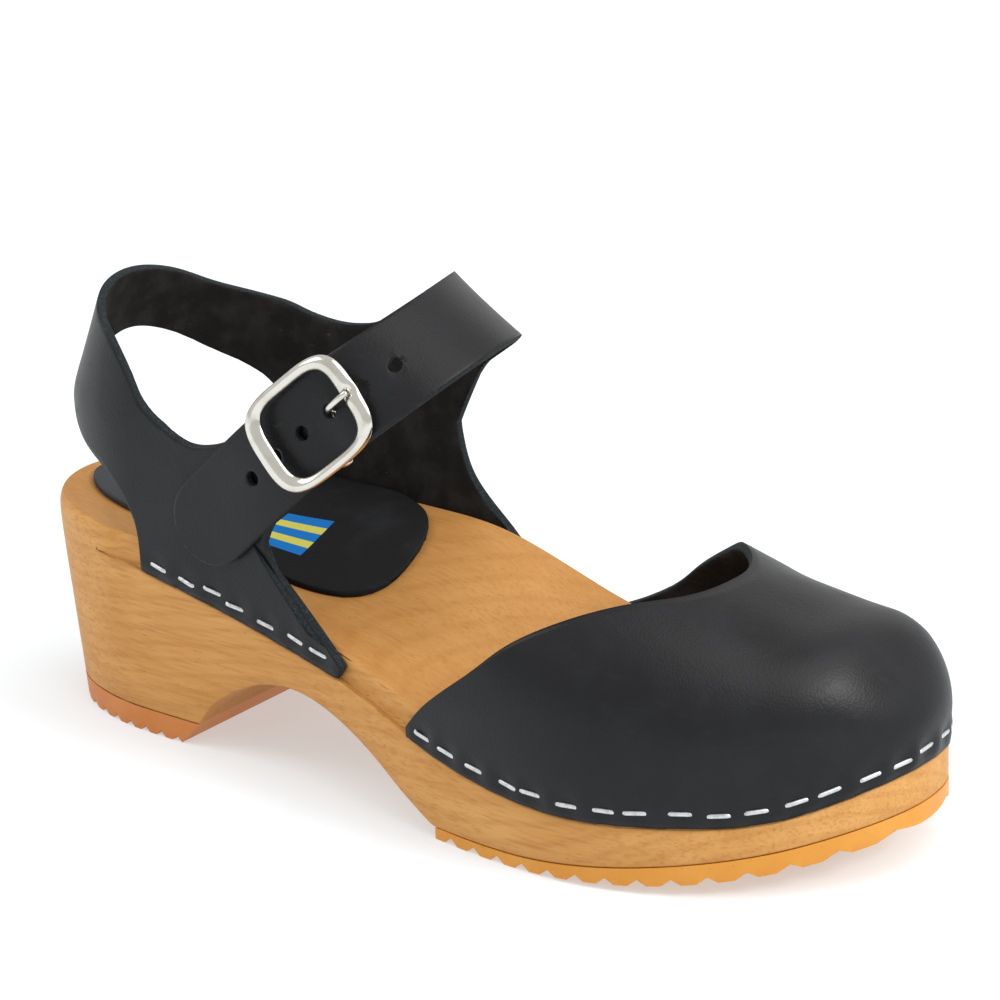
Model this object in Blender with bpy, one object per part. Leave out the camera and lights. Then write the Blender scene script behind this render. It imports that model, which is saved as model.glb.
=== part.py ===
"""Clog sandal for a right foot: a wooden clog sole with a closed toe and an ankle strap.

The toe points along +X, the outer side of the foot (the buckle's side) is -Y, and the
floor is z = 0.  Lengths along the shoe are measured from the back of the heel, and the
shoe's parent empty then puts the origin on the heel's tread.
All sizes are in metres, and the tables hold shares of the named sizes.
"""
import functools
import math

import bmesh
import bpy
import numpy as np
from mathutils import Vector

# Driving sizes of the sole
SHOE_LENGTH = 0.252
BALL_WIDTH = 0.0935
HEEL_LEDGE = 0.0477
BALL_LEDGE = 0.0163
TOE_SPRING = 0.0113
ARCH_RISE = 0.0247
RIM_RISE = 0.0070
RIM_SLOPE = 0.0016
ARCH_SUPPORT = 0.0160
TAPER_BACK = 0.0054
TAPER_SIDE = 0.0019
HEEL_RUBBER = 0.0063
FORE_RUBBER = 0.0048
TOOTH_DEPTH = 0.0016
TOOTH_CREST = 0.42
HEEL_PITCH = 0.0055
FORE_PITCH = 0.0077
BREAST_FLOOR = 0.226
BREAST_SHARE = 0.93
RUN_OUT_START = 0.034
RUN_OUT_LENGTH = 0.007
SUPPORT_START = -0.75
SUPPORT_SPAN = 1.45
LEDGE_FOLLOWS_SUPPORT = 0.6
TAPER_FADE = 0.25

# Driving sizes of the upper
LEATHER = 0.0022
PROUD = 0.0005
VAMP_CROWN = 0.0644
VAMP_BULGE = 0.0017
SLING_HEIGHT = 0.115
SLING_REAR = 0.0090
SLING_LEAN = 0.0140
SLING_HALF = 0.0336
SLING_DRAW_OUTER = 0.0034
SLING_DRAW_INNER = 0.0015
STRAP_WIDTH = 0.0230
STRAP_HOLE = 0.0038
HOLE_PITCH = 0.0100
HOLES_UP = 2
HOLES_DOWN = 3
TAB_INSET = 0.0004
TAB_SHORT = 0.0014

# Driving sizes of the sock on the heel seat
PAD_THICKNESS = 0.0014
PAD_INSET = 0.0060
PAD_FRONT = 0.427
PAD_ROUND = 0.70
PAD_POWER = 2.4
PAD_SHARE_OUTER = 0.53
PAD_SHARE_INNER = 0.88

# Driving sizes of the buckle
BUCKLE_LENGTH = 0.0334
BUCKLE_DOWN = 0.0016
BAR_ACROSS = 0.0050
BAR_SIDE = 0.0030
BAR_THICKNESS = 0.0024
BAR_ARCH = 0.0007
LEG_THICKNESS = 0.0011
PIN_DIAMETER = 0.0022
PRONG_DIAMETER = 0.0018
PRONG_HOLE = 0.0054
PRONG_REACH = 0.0146
PRONG_HOOK = math.radians(105)
NOTCH_DEPTH = 0.45
NOTCH_HALF = math.radians(9)
OUTER_POWER = 3.6
INNER_POWER = 4.6

# Round the frame's section: share of the way from its outer to its inner edge, height
FRAME_SECTION = ((0.06, 0.0), (0.0, 0.40), (0.14, 0.78), (0.45, 1.0), (0.82, 0.76), (1.0, 0.36), (0.92, 0.0))

# Clearances
GAP = 0.0003
RABBET = LEATHER + GAP - PROUD

# Sole outline: place along the shoe as a share of SHOE_LENGTH, then the outer and the
# inner edge as shares of BALL_WIDTH, from the back of the heel to the tip of the toe
OUTLINE = np.array([
    (0.000, 0.000, 0.000),
    (0.016, -0.151, 0.149),
    (0.056, -0.260, 0.254),
    (0.127, -0.334, 0.326),
    (0.222, -0.357, 0.339),
    (0.333, -0.361, 0.310),
    (0.444, -0.391, 0.299),
    (0.556, -0.453, 0.344),
    (0.659, -0.495, 0.438),
    (0.754, -0.499, 0.496),
    (0.841, -0.435, 0.490),
    (0.913, -0.317, 0.428),
    (0.968, -0.155, 0.316),
    (0.994, -0.024, 0.192),
    (1.000, 0.075, 0.075),
])

# The ledge that the leather stands on: place along, share of the climb from the ball's
# ledge to the heel's, and share of the toe's spring
LEDGE = np.array([
    (0.000, 1.050, 0.00),
    (0.119, 1.000, 0.00),
    (0.238, 0.850, 0.00),
    (0.357, 0.634, 0.00),
    (0.476, 0.424, 0.00),
    (0.595, 0.140, 0.00),
    (0.714, 0.000, 0.00),
    (0.833, 0.000, 0.04),
    (0.933, 0.000, 0.24),
    (1.000, 0.000, 0.80),
])

# The wood's under side between the two treads: place along, share of ARCH_RISE
ARCH = np.array([
    (0.253, 0.267),
    (0.267, 0.460),
    (0.280, 0.580),
    (0.300, 0.715),
    (0.333, 0.885),
    (0.365, 0.970),
    (0.394, 1.000),
    (0.437, 0.880),
    (0.507, 0.555),
    (0.550, 0.280),
    (0.583, 0.115),
])

# The forefoot's tread: place along, share of the toe's spring, share of FORE_RUBBER
TREAD = np.array([
    (0.583, 0.01, 0.55),
    (0.630, 0.00, 0.56),
    (0.685, 0.00, 0.60),
    (0.754, 0.08, 0.72),
    (0.833, 0.22, 0.92),
    (0.933, 0.57, 1.00),
    (1.000, 0.97, 1.00),
])

# The footbed: place along, share of ARCH_SUPPORT at the inner rim, and the depth of the
# dish as a share of BALL_WIDTH
FOOTBED = np.array([
    (0.000, 0.00, 0.040),
    (0.119, 0.00, 0.036),
    (0.238, 0.24, 0.030),
    (0.357, 0.69, 0.026),
    (0.476, 0.98, 0.020),
    (0.595, 0.63, 0.022),
    (0.694, 0.06, 0.028),
    (0.800, 0.00, 0.024),
    (1.000, 0.00, 0.010),
])

# The vamp's crown: place along, share of VAMP_CROWN
CROWN = np.array([
    (0.540, 1.340),
    (0.694, 1.155),
    (0.813, 1.000),
    (0.893, 0.905),
    (0.952, 0.880),
    (1.000, 0.700),
])

# The vamp's top line: share of the quarter turn from ledge to crown, then the share of
# the way from the vamp's rear corner to its throat, on the outer and on the inner side
TOPLINE = np.array([
    (0.006, 0.00, 0.00),
    (0.060, 0.10, 0.11),
    (0.200, 0.32, 0.32),
    (0.340, 0.47, 0.46),
    (0.500, 0.64, 0.63),
    (0.690, 0.82, 0.80),
    (0.840, 0.95, 0.94),
    (0.930, 0.99, 0.99),
    (1.000, 1.00, 1.00),
])
VAMP_CORNER = 0.551
VAMP_THROAT = 0.815
VAMP_POLE = 0.817
RIDGE_START = 0.556
RIDGE_REAR = 0.043
RIDGE_TOE = -0.011
HEEL_POLE = 0.125

# Powers that shape the vamp's section: across and up, on each side and at the toe's tip
SECTION_OUTER = (0.70, 0.70)
SECTION_INNER = (0.98, 0.98)
SECTION_TOE = (0.60, 0.48)

# The back piece, from under the strap round the heel to the foot of the instep strap.
# Each row gives a point of the upper and of the lower edge: the way round the wall as a
# share of SHOE_LENGTH, negative on the outer side, and the height as a share of
# SLING_HEIGHT, where None stands on the ledge.  The last column counts the steps on.
BACK_ROWS = (
    ("under the strap", (-0.343, 0.755), (-0.402, 0.625), 2),
    ("waist", (-0.287, 0.713), (-0.371, 0.530), 2),
    ("flare", (-0.258, 0.727), (-0.402, 0.430), 2),
    ("tip", (-0.243, 0.742), (-0.471, 0.302), 1),
    ("front corner", (-0.240, 0.745), (-0.462, None), 6),
    ("heel corner", (-0.206, 0.805), (-0.203, None), 2),
    ("rear edge", (-0.194, 0.850), (-0.201, 0.500), 2),
    ("sling foot", (-0.168, 0.905), (-0.178, 0.590), 3),
    ("sling side", (-0.110, 0.958), (-0.113, 0.668), 3),
    ("sling turn", (-0.055, 0.985), (-0.055, 0.770), 3),
    ("sling back", (0.000, 0.985), (0.000, 0.833), 3),
    ("inner turn", (0.055, 0.955), (0.055, 0.812), 3),
    ("inner side", (0.110, 0.903), (0.115, 0.742), 3),
    ("inner foot", (0.165, 0.873), (0.185, 0.640), 2),
    ("inner rear edge", (0.185, 0.866), (0.203, 0.500), 2),
    ("inner heel corner", (0.196, 0.861), (0.207, None), 6),
    ("inner front corner", (0.228, 0.845), (0.525, None), 2),
    ("inner flare", (0.245, 0.840), (0.490, 0.430), 2),
    ("inner waist", (0.275, 0.838), (0.432, 0.545), 2),
    ("strap foot", (0.318, 0.855), (0.414, 0.660), 0),
)
CORNERS = ("tip", "front corner", "heel corner", "inner heel corner", "inner front corner")
LOOP_QUARTER = 0.200
LOOP_FRONT = 0.190
LEAN_START = 0.74
LEAN_SPAN = 0.26
SPREAD_OUTER = 0.04
SPREAD_INNER = -0.03
CURL_START = 0.34
CURL_OUTER = 4.2

# The instep strap's arch: centre points as shares of SHOE_LENGTH and SLING_HEIGHT
ARCH_OUTER = (0.438, 0.836)
ARCH_INNER = (0.391, 0.853)
ARCH_TOP = (0.517, 1.010)
ARCH_STEPS = 19
TILT_SIDE = math.radians(43.0)
TILT_INNER = math.radians(51.0)
TILT_TOP = math.radians(31.4)
STRAP_TIP = (0.2645, 0.492)

COLOURS = {
    # red, green, blue, roughness, metallic
    "alder": (0.62, 0.34, 0.12, 0.45, 0.0),
    "rubber_heel": (0.58, 0.20, 0.05, 0.6, 0.0),
    "rubber_fore": (0.68, 0.30, 0.04, 0.5, 0.0),
    "leather": (0.035, 0.036, 0.038, 0.42, 0.0),
    "sock": (0.008, 0.008, 0.010, 0.6, 0.0),
    "nickel": (0.75, 0.74, 0.72, 0.22, 1.0),
}


def clear_scene():
    """Remove every object that the file opened with."""
    for obj in list(bpy.data.objects):
        bpy.data.objects.remove(obj, do_unlink=True)


def material(name):
    """Make a plain Principled material from the colour table."""
    red, green, blue, roughness, metallic = COLOURS[name]
    mat = bpy.data.materials.new(name)
    mat.use_nodes = True
    shader = mat.node_tree.nodes["Principled BSDF"]
    shader.inputs["Base Color"].default_value = (red, green, blue, 1.0)
    shader.inputs["Roughness"].default_value = roughness
    shader.inputs["Metallic"].default_value = metallic
    return mat


def smooth(knots, values, at):
    """Pass a smooth curve through a table's knots and read it at one place."""
    slopes = np.gradient(values, knots)
    i = int(np.clip(np.searchsorted(knots, at) - 1, 0, len(knots) - 2))
    step = knots[i + 1] - knots[i]
    t = min(max((at - knots[i]) / step, 0.0), 1.0)
    rise = t * t * (3 - 2 * t)
    leave = t * (1 - t) ** 2 * step
    arrive = t * t * (t - 1) * step
    return values[i] * (1 - rise) + values[i + 1] * rise + slopes[i] * leave + slopes[i + 1] * arrive


def table(rows, column, x):
    """Read a column of a table whose first column is the place along the shoe."""
    return float(smooth(rows[:, 0], rows[:, column], x / SHOE_LENGTH))


def ease(t):
    """Go from 0 to 1 with flat ends."""
    t = min(max(t, 0.0), 1.0)
    return t * t * (3 - 2 * t)


def turn_of(x):
    """Turn a place along the shoe into the angle that rounds both ends of the outline."""
    return math.acos(min(max(1 - 2 * x / SHOE_LENGTH, -1.0), 1.0))


OUTLINE_TURN = np.array([turn_of(row[0] * SHOE_LENGTH) for row in OUTLINE])


def outline(turn, side):
    """Point of the sole's outline; side is -1 for the outer edge, +1 for the inner."""
    column = 1 if side < 0 else 2
    x = SHOE_LENGTH * (1 - math.cos(turn)) / 2
    return np.array([x, BALL_WIDTH * float(smooth(OUTLINE_TURN, OUTLINE[:, column], turn))])


def outward(turn, side):
    """Direction that points out of the outline, in plan."""
    if turn < 1e-4:
        return np.array([-1.0, 0.0])
    if turn > math.pi - 1e-4:
        return np.array([1.0, 0.0])
    ahead = outline(min(turn + 0.01, math.pi), side) - outline(max(turn - 0.01, 0.0), side)
    ahead /= np.linalg.norm(ahead)
    return side * np.array([-ahead[1], ahead[0]])


def spine(x):
    """Middle of the sole at x, kept clear of both round ends."""
    x = min(max(x, HEEL_POLE * SHOE_LENGTH), VAMP_POLE * SHOE_LENGTH)
    turn = turn_of(x)
    return np.array([x, (outline(turn, -1)[1] + outline(turn, 1)[1]) / 2])


def support(x):
    """Height of the arch support at the inner rim."""
    return ARCH_SUPPORT * max(0.0, table(FOOTBED, 1, x))


def ledge(x, side):
    """Height of the ledge under the leather."""
    climb = (HEEL_LEDGE - BALL_LEDGE) * table(LEDGE, 1, x)
    height = BALL_LEDGE + climb + TOE_SPRING * table(LEDGE, 2, x)
    if side > 0:
        height += LEDGE_FOLLOWS_SUPPORT * support(x)
    return height


def rim(x, side):
    """Height of the footbed's rim."""
    height = ledge(x, -1) + RIM_RISE
    return height + (support(x) if side > 0 else 0.0)


def footbed(x, y, share):
    """Height of the footbed; share is 0 on the spine and 1 at the edge."""
    turn = turn_of(x)
    outer = outline(turn, -1)[1]
    inner = outline(turn, 1)[1]
    half = max((inner - outer) / 2, 0.004)
    across = (y - (inner + outer) / 2) / half
    lift = support(x) * ease((across - SUPPORT_START) / SUPPORT_SPAN)
    dish = BALL_WIDTH * table(FOOTBED, 2, x) * (1 - min(share, 1.0) ** 2)
    return rim(x, -1) + lift - dish


def tread_bottom(x):
    """Height of the forefoot tread's crests above the floor."""
    return TOE_SPRING * max(0.0, table(TREAD, 1, x))


def wood_under(x):
    """Height of the wood's under side."""
    along = x / SHOE_LENGTH
    if along <= ARCH[0, 0]:
        return HEEL_RUBBER + GAP
    if along < ARCH[-1, 0]:
        return max(ARCH_RISE * table(ARCH, 1, x), min(HEEL_RUBBER, FORE_RUBBER / 2))
    return tread_bottom(x) + FORE_RUBBER * table(TREAD, 2, x) + GAP


def taper(turn, side, z):
    """How far the side is drawn in at height z, most at the back of the heel."""
    x = SHOE_LENGTH * (1 - math.cos(turn)) / 2
    back = max(0.0, -outward(turn, side)[0]) if x < SHOE_LENGTH / 2 else 0.0
    fade = 1 - ease((x / SHOE_LENGTH - TAPER_FADE) / TAPER_FADE)
    full = TAPER_SIDE * fade + (TAPER_BACK - TAPER_SIDE) * back
    return full * max(0.0, 1 - z / ledge(x, -1))


def drawn_in(turn, side, inset):
    """Outline point moved in by a distance."""
    return outline(turn, side) - outward(turn, side) * inset


def loop(turns):
    """Order stations round the sole: back, outer side, toe, inner side."""
    inside = [turn for turn in turns if 1e-4 < turn < math.pi - 1e-4]
    return [(0.0, -1)] + [(t, -1) for t in inside] + [(math.pi, -1)] + [(t, 1) for t in reversed(inside)]


def mesh_object(name, points, faces, mat, sharp=35):
    """Make an object from points and faces, merged, closed and facing out."""
    work = bmesh.new()
    verts = [work.verts.new(Vector(p)) for p in points]
    for face in faces:
        ring = [verts[i] for i in face]
        if len(set(ring)) > 2:
            work.faces.new(ring)
    bmesh.ops.remove_doubles(work, verts=work.verts, dist=2e-5)
    bmesh.ops.dissolve_degenerate(work, dist=1e-5, edges=work.edges)
    bmesh.ops.recalc_face_normals(work, faces=work.faces)
    mesh = bpy.data.meshes.new(name)
    work.to_mesh(mesh)
    work.free()
    if mat is not None:
        mesh.materials.append(mat)
    mesh.shade_smooth()
    mesh.set_sharp_from_angle(angle=math.radians(sharp))
    obj = bpy.data.objects.new(name, mesh)
    bpy.context.collection.objects.link(obj)
    return obj


def ring_faces(rings, around):
    """Quads between neighbouring closed rings of the same length."""
    faces = []
    for r in range(rings - 1):
        for i in range(around):
            j = (i + 1) % around
            faces.append((r * around + i, r * around + j, (r + 1) * around + j, (r + 1) * around + i))
    return faces


def sole_stations():
    """Stations round the sole, closer together where its profile turns."""
    steps = [math.pi * i / 40 for i in range(41)]
    breast = [turn_of(row[0] * SHOE_LENGTH) for row in ARCH[:5]]
    run_out = [turn_of(RUN_OUT_START + RUN_OUT_LENGTH * share) for share in (0.1, 0.35, 0.65, 0.93)]
    fore = ARCH[-1, 0] * SHOE_LENGTH
    turns = sorted(set(steps + breast + run_out + [turn_of(fore - 1e-4), turn_of(fore)]))
    return loop([t for i, t in enumerate(turns) if i == 0 or t - turns[i - 1] > 0.004])


def rabbet_at(x):
    """How far the rim stands in from the sole's edge, to make room for the leather."""
    return RABBET * ease((x - RUN_OUT_START) / RUN_OUT_LENGTH)


def footbed_rings(stations, lift):
    """Rings of footbed points from the rim to the spine, lifted straight up."""
    rings = []
    for share in (1.0, 0.9, 0.78, 0.65, 0.51, 0.37, 0.22, 0.1, 0.0):
        ring = []
        for turn, side in stations:
            x = outline(turn, side)[0]
            mid = spine(x)
            spot = mid + (drawn_in(turn, side, rabbet_at(x) + RIM_SLOPE) - mid) * share
            ring.append((spot[0], spot[1], footbed(spot[0], spot[1], share) + lift))
        rings.append(ring)
    return rings


def wood_base(mat):
    """The alder sole: under side, tapered wall, rabbet for the leather, rim and footbed."""
    stations = sole_stations()
    rings = []
    for share in (0.0, 0.5, 0.9, 1.0):
        ring = []
        for turn, side in stations:
            edge = drawn_in(turn, side, TAPER_SIDE)
            edge = drawn_in(turn, side, taper(turn, side, wood_under(edge[0])))
            mid = spine(outline(turn, side)[0])
            spot = mid + (edge - mid) * share
            ring.append((spot[0], spot[1], wood_under(spot[0])))
        rings.append(ring)
    wall_top, rabbet, rim_edge = [], [], []
    for turn, side in stations:
        spot = outline(turn, side)
        x = spot[0]
        wall_top.append((spot[0], spot[1], ledge(x, side)))
        spot = drawn_in(turn, side, rabbet_at(x))
        rabbet.append((spot[0], spot[1], ledge(x, side)))
        spot = drawn_in(turn, side, rabbet_at(x) + RIM_SLOPE / 8)
        rim_edge.append((spot[0], spot[1], rim(x, side) - RIM_SLOPE))
    rings += [wall_top, rabbet, rim_edge] + footbed_rings(stations, 0.0)
    points = [p for ring in rings for p in ring]
    return mesh_object("wood_base", points, ring_faces(len(rings), len(stations)), mat)


def tooth(share, teeth):
    """Height of the rib profile: flat crests with notches between them."""
    place = (share * teeth) % 1.0
    if place <= TOOTH_CREST or share >= 1.0:
        return 0.0
    half = (1 - TOOTH_CREST) / 2
    return TOOTH_DEPTH * (1 - abs(place - TOOTH_CREST - half) / half)


def tooth_shares(teeth, extra):
    """Stations along a tread: each crest's ends, each notch and some more for round ends."""
    shares = {0.0, 1.0}
    for i in range(teeth):
        for place in (0.0, TOOTH_CREST, (1 + TOOTH_CREST) / 2):
            shares.add((i + place) / teeth)
    shares |= set(extra)
    ordered = sorted(shares)
    return [s for i, s in enumerate(ordered) if i == 0 or s - ordered[i - 1] > 0.002]


def edge_at(x, z, side):
    """Side edge of the sole at place x and height z."""
    turns = [math.pi * i / 160 for i in range(161)]
    spots = [drawn_in(t, side, taper(t, side, z)) for t in turns]
    return float(np.interp(x, [s[0] for s in spots], [s[1] for s in spots]))


def tread(name, starts, ends, bottom, top, pitch, extra, mat):
    """A rubber tread piece with ribs across it."""
    teeth = max(2, round((ends[0] - starts[0]) / pitch))
    points = []
    shares = tooth_shares(teeth, extra)
    for share in shares:
        low_x = starts[0] + (ends[0] - starts[0]) * share
        high_x = starts[1] + (ends[1] - starts[1]) * share
        low_z = bottom(low_x) + tooth(share, teeth)
        high_z = top(high_x)
        for x, z in ((low_x, low_z), (high_x, high_z)):
            points.append((x, edge_at(x, z, -1), z))
            points.append((x, edge_at(x, z, 1), z))
    faces = []
    for i in range(len(shares) - 1):
        a = 4 * i
        b = a + 4
        for p, q in ((0, 1), (1, 3), (3, 2), (2, 0)):
            faces.append((a + p, a + q, b + q, b + p))
    last = 4 * (len(shares) - 1)
    faces.append((0, 1, 3, 2))
    faces.append((last, last + 1, last + 3, last + 2))
    return mesh_object(name, points, faces, mat, sharp=25)


def heel_span():
    """Back and front of the heel's tread on the floor."""
    return drawn_in(0.0, -1, TAPER_BACK)[0], BREAST_FLOOR * SHOE_LENGTH


def heel_crest():
    """Place along the shoe of the middle rib's flat crest."""
    back, front = heel_span()
    teeth = max(2, round((front - back) / HEEL_PITCH))
    return back + (front - back) * (teeth // 2 + TOOTH_CREST / 2) / teeth


def heel_outsole(mat):
    """The heel's rubber tread."""
    back, floor_end = heel_span()
    back_top = drawn_in(0.0, -1, taper(0.0, -1, HEEL_RUBBER))[0]
    ends = (floor_end, floor_end + (ARCH[0, 0] - BREAST_FLOOR) * SHOE_LENGTH * BREAST_SHARE)
    round_end = [0.004, 0.012, 0.025, 0.06, 0.1, 0.15, 0.21]
    return tread("heel_outsole", (back, back_top), ends, lambda x: 0.0, lambda x: HEEL_RUBBER,
                 HEEL_PITCH, round_end, mat)


def forefoot_outsole(mat):
    """The forefoot's rubber tread, which thins out behind the ball."""
    toe_z = tread_bottom(SHOE_LENGTH)
    toe = drawn_in(math.pi, -1, taper(math.pi, -1, toe_z))[0]
    toe_top = drawn_in(math.pi, -1, taper(math.pi, -1, toe_z + FORE_RUBBER))[0]
    start = ARCH[-1, 0] * SHOE_LENGTH + 2 * GAP
    round_end = [1 - s for s in (0.003, 0.009, 0.019, 0.034, 0.054, 0.08, 0.11, 0.15, 0.2)]

    def top(x):
        return tread_bottom(x) + FORE_RUBBER * table(TREAD, 2, x)

    return tread("forefoot_outsole", (start, start), (toe, toe_top), tread_bottom, top,
                 FORE_PITCH, round_end, mat)


def pad_outline():
    """The sock's outline in plan, rounded at both ends."""
    front = PAD_FRONT * SHOE_LENGTH
    edge = []
    for turn, side in loop([math.pi * i / 26 for i in range(27)]):
        x = PAD_INSET + (front - PAD_INSET) * (1 - math.cos(turn)) / 2
        base = (x - PAD_INSET) * front / (front - PAD_INSET)
        closing = min(max(0.0, (x / front - PAD_ROUND) / (1 - PAD_ROUND)), 1.0)
        share = PAD_SHARE_OUTER if side < 0 else PAD_SHARE_INNER
        width = share * outline(turn_of(base), side)[1] * (1 - closing ** PAD_POWER) ** (1 / PAD_POWER)
        edge.append((x, width))
    return edge


def heel_pad(mat):
    """The black sock on the heel seat: a sheet over the footbed, cut to its outline."""
    stations = sole_stations()
    rings = footbed_rings(stations, GAP)[::-1] + footbed_rings(stations, GAP + PAD_THICKNESS)
    points = [p for ring in rings for p in ring]
    sheet = mesh_object("heel_pad", points, ring_faces(len(rings), len(stations)), mat)
    edge = pad_outline()
    around = len(edge)
    prism = [(x, y, z) for z in (0.0, HEEL_LEDGE * 2) for x, y in edge]
    faces = ring_faces(2, around) + [tuple(range(around)), tuple(range(around, 2 * around))]
    combine(sheet, mesh_object("pad_cut", prism, faces, None), "INTERSECT")
    return sheet


def vamp_section(x, side):
    """The two powers that shape the vamp's cross-section, blended towards the toe."""
    pole = VAMP_POLE * SHOE_LENGTH
    blend = ease((x - pole) / (SHOE_LENGTH - pole))
    flat, steep = SECTION_OUTER if side < 0 else SECTION_INNER
    return flat + (SECTION_TOE[0] - flat) * blend, steep + (SECTION_TOE[1] - steep) * blend


def ridge(x):
    """The vamp's crown line in plan."""
    rear = RIDGE_START * SHOE_LENGTH
    pole = VAMP_POLE * SHOE_LENGTH
    share = (min(x, pole) - rear) / (pole - rear)
    return np.array([min(x, pole), BALL_WIDTH * (RIDGE_REAR + (RIDGE_TOE - RIDGE_REAR) * share)])


def vamp_point(turn, side, quarter):
    """Outer surface of the vamp: quarter runs from 0 at the ledge to 1 on the crown."""
    foot = outline(turn, side)
    crown = ridge(foot[0])
    angle = quarter * math.pi / 2
    flat, steep = vamp_section(foot[0], side)
    out = (foot - crown) / np.linalg.norm(foot - crown)
    share = math.cos(angle) ** flat if quarter < 1.0 else 0.0
    swell = PROUD + VAMP_BULGE * math.sin(min(angle * 2.5, math.pi / 2))
    spot = crown + (foot - crown) * share + out * swell * share
    top = VAMP_CROWN * table(CROWN, 1, max(spot[0], CROWN[0, 0] * SHOE_LENGTH))
    base = ledge(foot[0], side) + GAP
    return np.array([spot[0], spot[1], base + (top - base) * math.sin(angle) ** steep])


def vamp_inverse(x, y):
    """Find the outline's turn and the side for a plan point of the vamp."""
    crown = ridge(x)
    step = np.array([x, y]) - crown
    side = -1 if step[1] < 0 else 1
    pole = VAMP_POLE * SHOE_LENGTH
    if x <= pole:
        return turn_of(x), side
    tip = outline(math.pi, side) - crown
    angle = math.atan2(step[1], step[0])
    side = -1 if angle < math.atan2(tip[1], tip[0]) else 1
    turns = np.linspace(turn_of(pole), math.pi, 60)
    spots = [outline(t, side) - crown for t in turns]
    angles = [-side * math.atan2(spot[1], spot[0]) for spot in spots]
    return float(np.interp(-side * angle, angles, turns)), side


def vamp(mat):
    """The closed toe's leather: one wall from the ledge to the top line."""
    columns = 50
    rows = 13
    corner = VAMP_CORNER * SHOE_LENGTH
    throat = VAMP_THROAT * SHOE_LENGTH
    outer = []
    for c in range(columns + 1):
        way = 2 * c / columns - 1
        side = -1 if way < 0 else 1
        up = 1 - abs(way)
        start_quarter = TOPLINE[0, 0] + (1 - TOPLINE[0, 0]) * up
        share = float(smooth(TOPLINE[:, 0], TOPLINE[:, 1 if side < 0 else 2], start_quarter))
        start_x = corner + (throat - corner) * share
        start = vamp_point(turn_of(start_x), side, start_quarter)
        foot_turn = turn_of(corner) + (math.pi - turn_of(corner)) * up
        column = []
        for r in range(rows + 1):
            column.append(vamp_between(start, start_quarter, foot_turn, side, r / rows))
        outer.append(column)
    return wall_object("vamp", np.array(outer), mat)


def vamp_between(start, start_quarter, foot_turn, side, down):
    """A point on the vamp between the top line and the ledge, on a straight plan line."""
    foot = outline(foot_turn, side)
    if down <= 0.0:
        return start
    if down >= 1.0:
        return vamp_point(foot_turn, side, 0.0)
    quarter = start_quarter * (1 - down)
    flat, _ = vamp_section(foot[0], side)
    near = math.cos(start_quarter * math.pi / 2) ** flat if start_quarter < 1.0 else 0.0
    here = math.cos(quarter * math.pi / 2) ** flat
    share = (here - near) / (1 - near)
    spot = start[:2] + (foot - start[:2]) * share
    turn, found = vamp_inverse(spot[0], spot[1])
    return vamp_point(turn, found, quarter)


def wall_object(name, outer, mat, sharp=40, facing=1):
    """Give a grid of outer points the leather's thickness and close its edges.

    facing is 1 where the columns run round by way of the toe, -1 by way of the heel.
    """
    across = np.gradient(outer, axis=0)
    down = np.gradient(outer, axis=1)
    normal = np.cross(down, across)
    length = np.linalg.norm(normal, axis=2, keepdims=True)
    normal = normal / np.maximum(length, 1e-12)
    inner = outer - normal * LEATHER * facing
    return slab_object(name, outer, inner, mat, sharp)


def slab_object(name, outer, inner, mat, sharp=40):
    """Close the space between two grids of points."""
    columns, rows = outer.shape[:2]
    points = [tuple(p) for p in outer.reshape(-1, 3)] + [tuple(p) for p in inner.reshape(-1, 3)]
    back = columns * rows
    faces = []
    for c in range(columns - 1):
        for r in range(rows - 1):
            a = c * rows + r
            quad = (a, a + 1, a + rows + 1, a + rows)
            faces.append(quad)
            faces.append(tuple(back + i for i in reversed(quad)))
    border = [c * rows for c in range(columns)]
    border += [(columns - 1) * rows + r for r in range(1, rows)]
    border += [c * rows + rows - 1 for c in range(columns - 2, -1, -1)]
    border += [r for r in range(rows - 2, 0, -1)]
    for i, a in enumerate(border):
        b = border[(i + 1) % len(border)]
        faces.append((a, b, back + b, back + a))
    return mesh_object(name, points, faces, mat, sharp)


def lean_at(z):
    """How far the back piece leans in at height z: 0 low down, 1 at the sling's top."""
    return min(max((z / SLING_HEIGHT - LEAN_START) / LEAN_SPAN, 0.0), 1.2)


def upper_half(x, z, side):
    """Half width of the back piece's wall, outside, well above the sole."""
    half = SLING_HALF - (SLING_DRAW_OUTER if side < 0 else SLING_DRAW_INNER) * lean_at(z)
    half += (SPREAD_OUTER if side < 0 else SPREAD_INNER) * max(0.0, x - LOOP_FRONT * SHOE_LENGTH)
    if side < 0:
        half -= CURL_OUTER * max(0.0, x - CURL_START * SHOE_LENGTH) ** 2
    return half


def wall(way, z, proud=0.0):
    """Point of the back piece's outer face: the way round it and the height.

    way is 0 at the back of the heel, negative on the outer side; z None is the ledge.
    """
    side = -1 if way < 0 else 1
    front = LOOP_FRONT * SHOE_LENGTH
    quarter = LOOP_QUARTER * SHOE_LENGTH
    beyond = max(0.0, abs(way) - quarter)
    x = front + beyond
    base = ledge(x, side) + GAP
    z = base if z is None else max(z, base)
    foot = abs(outline(turn_of(x), side)[1]) + PROUD
    blend = ease((z - base) / max(LEAN_START * SLING_HEIGHT - base, 0.001))
    half = foot + (upper_half(x, z, side) - foot) * blend + proud
    if beyond > 0.0:
        return np.array([x, side * half, z])
    angle = abs(way) / quarter * math.pi / 2
    deep = front - (SLING_REAR + SLING_LEAN * lean_at(z)) + proud
    return np.array([front - deep * math.cos(angle), side * half * math.sin(angle), z])


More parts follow.
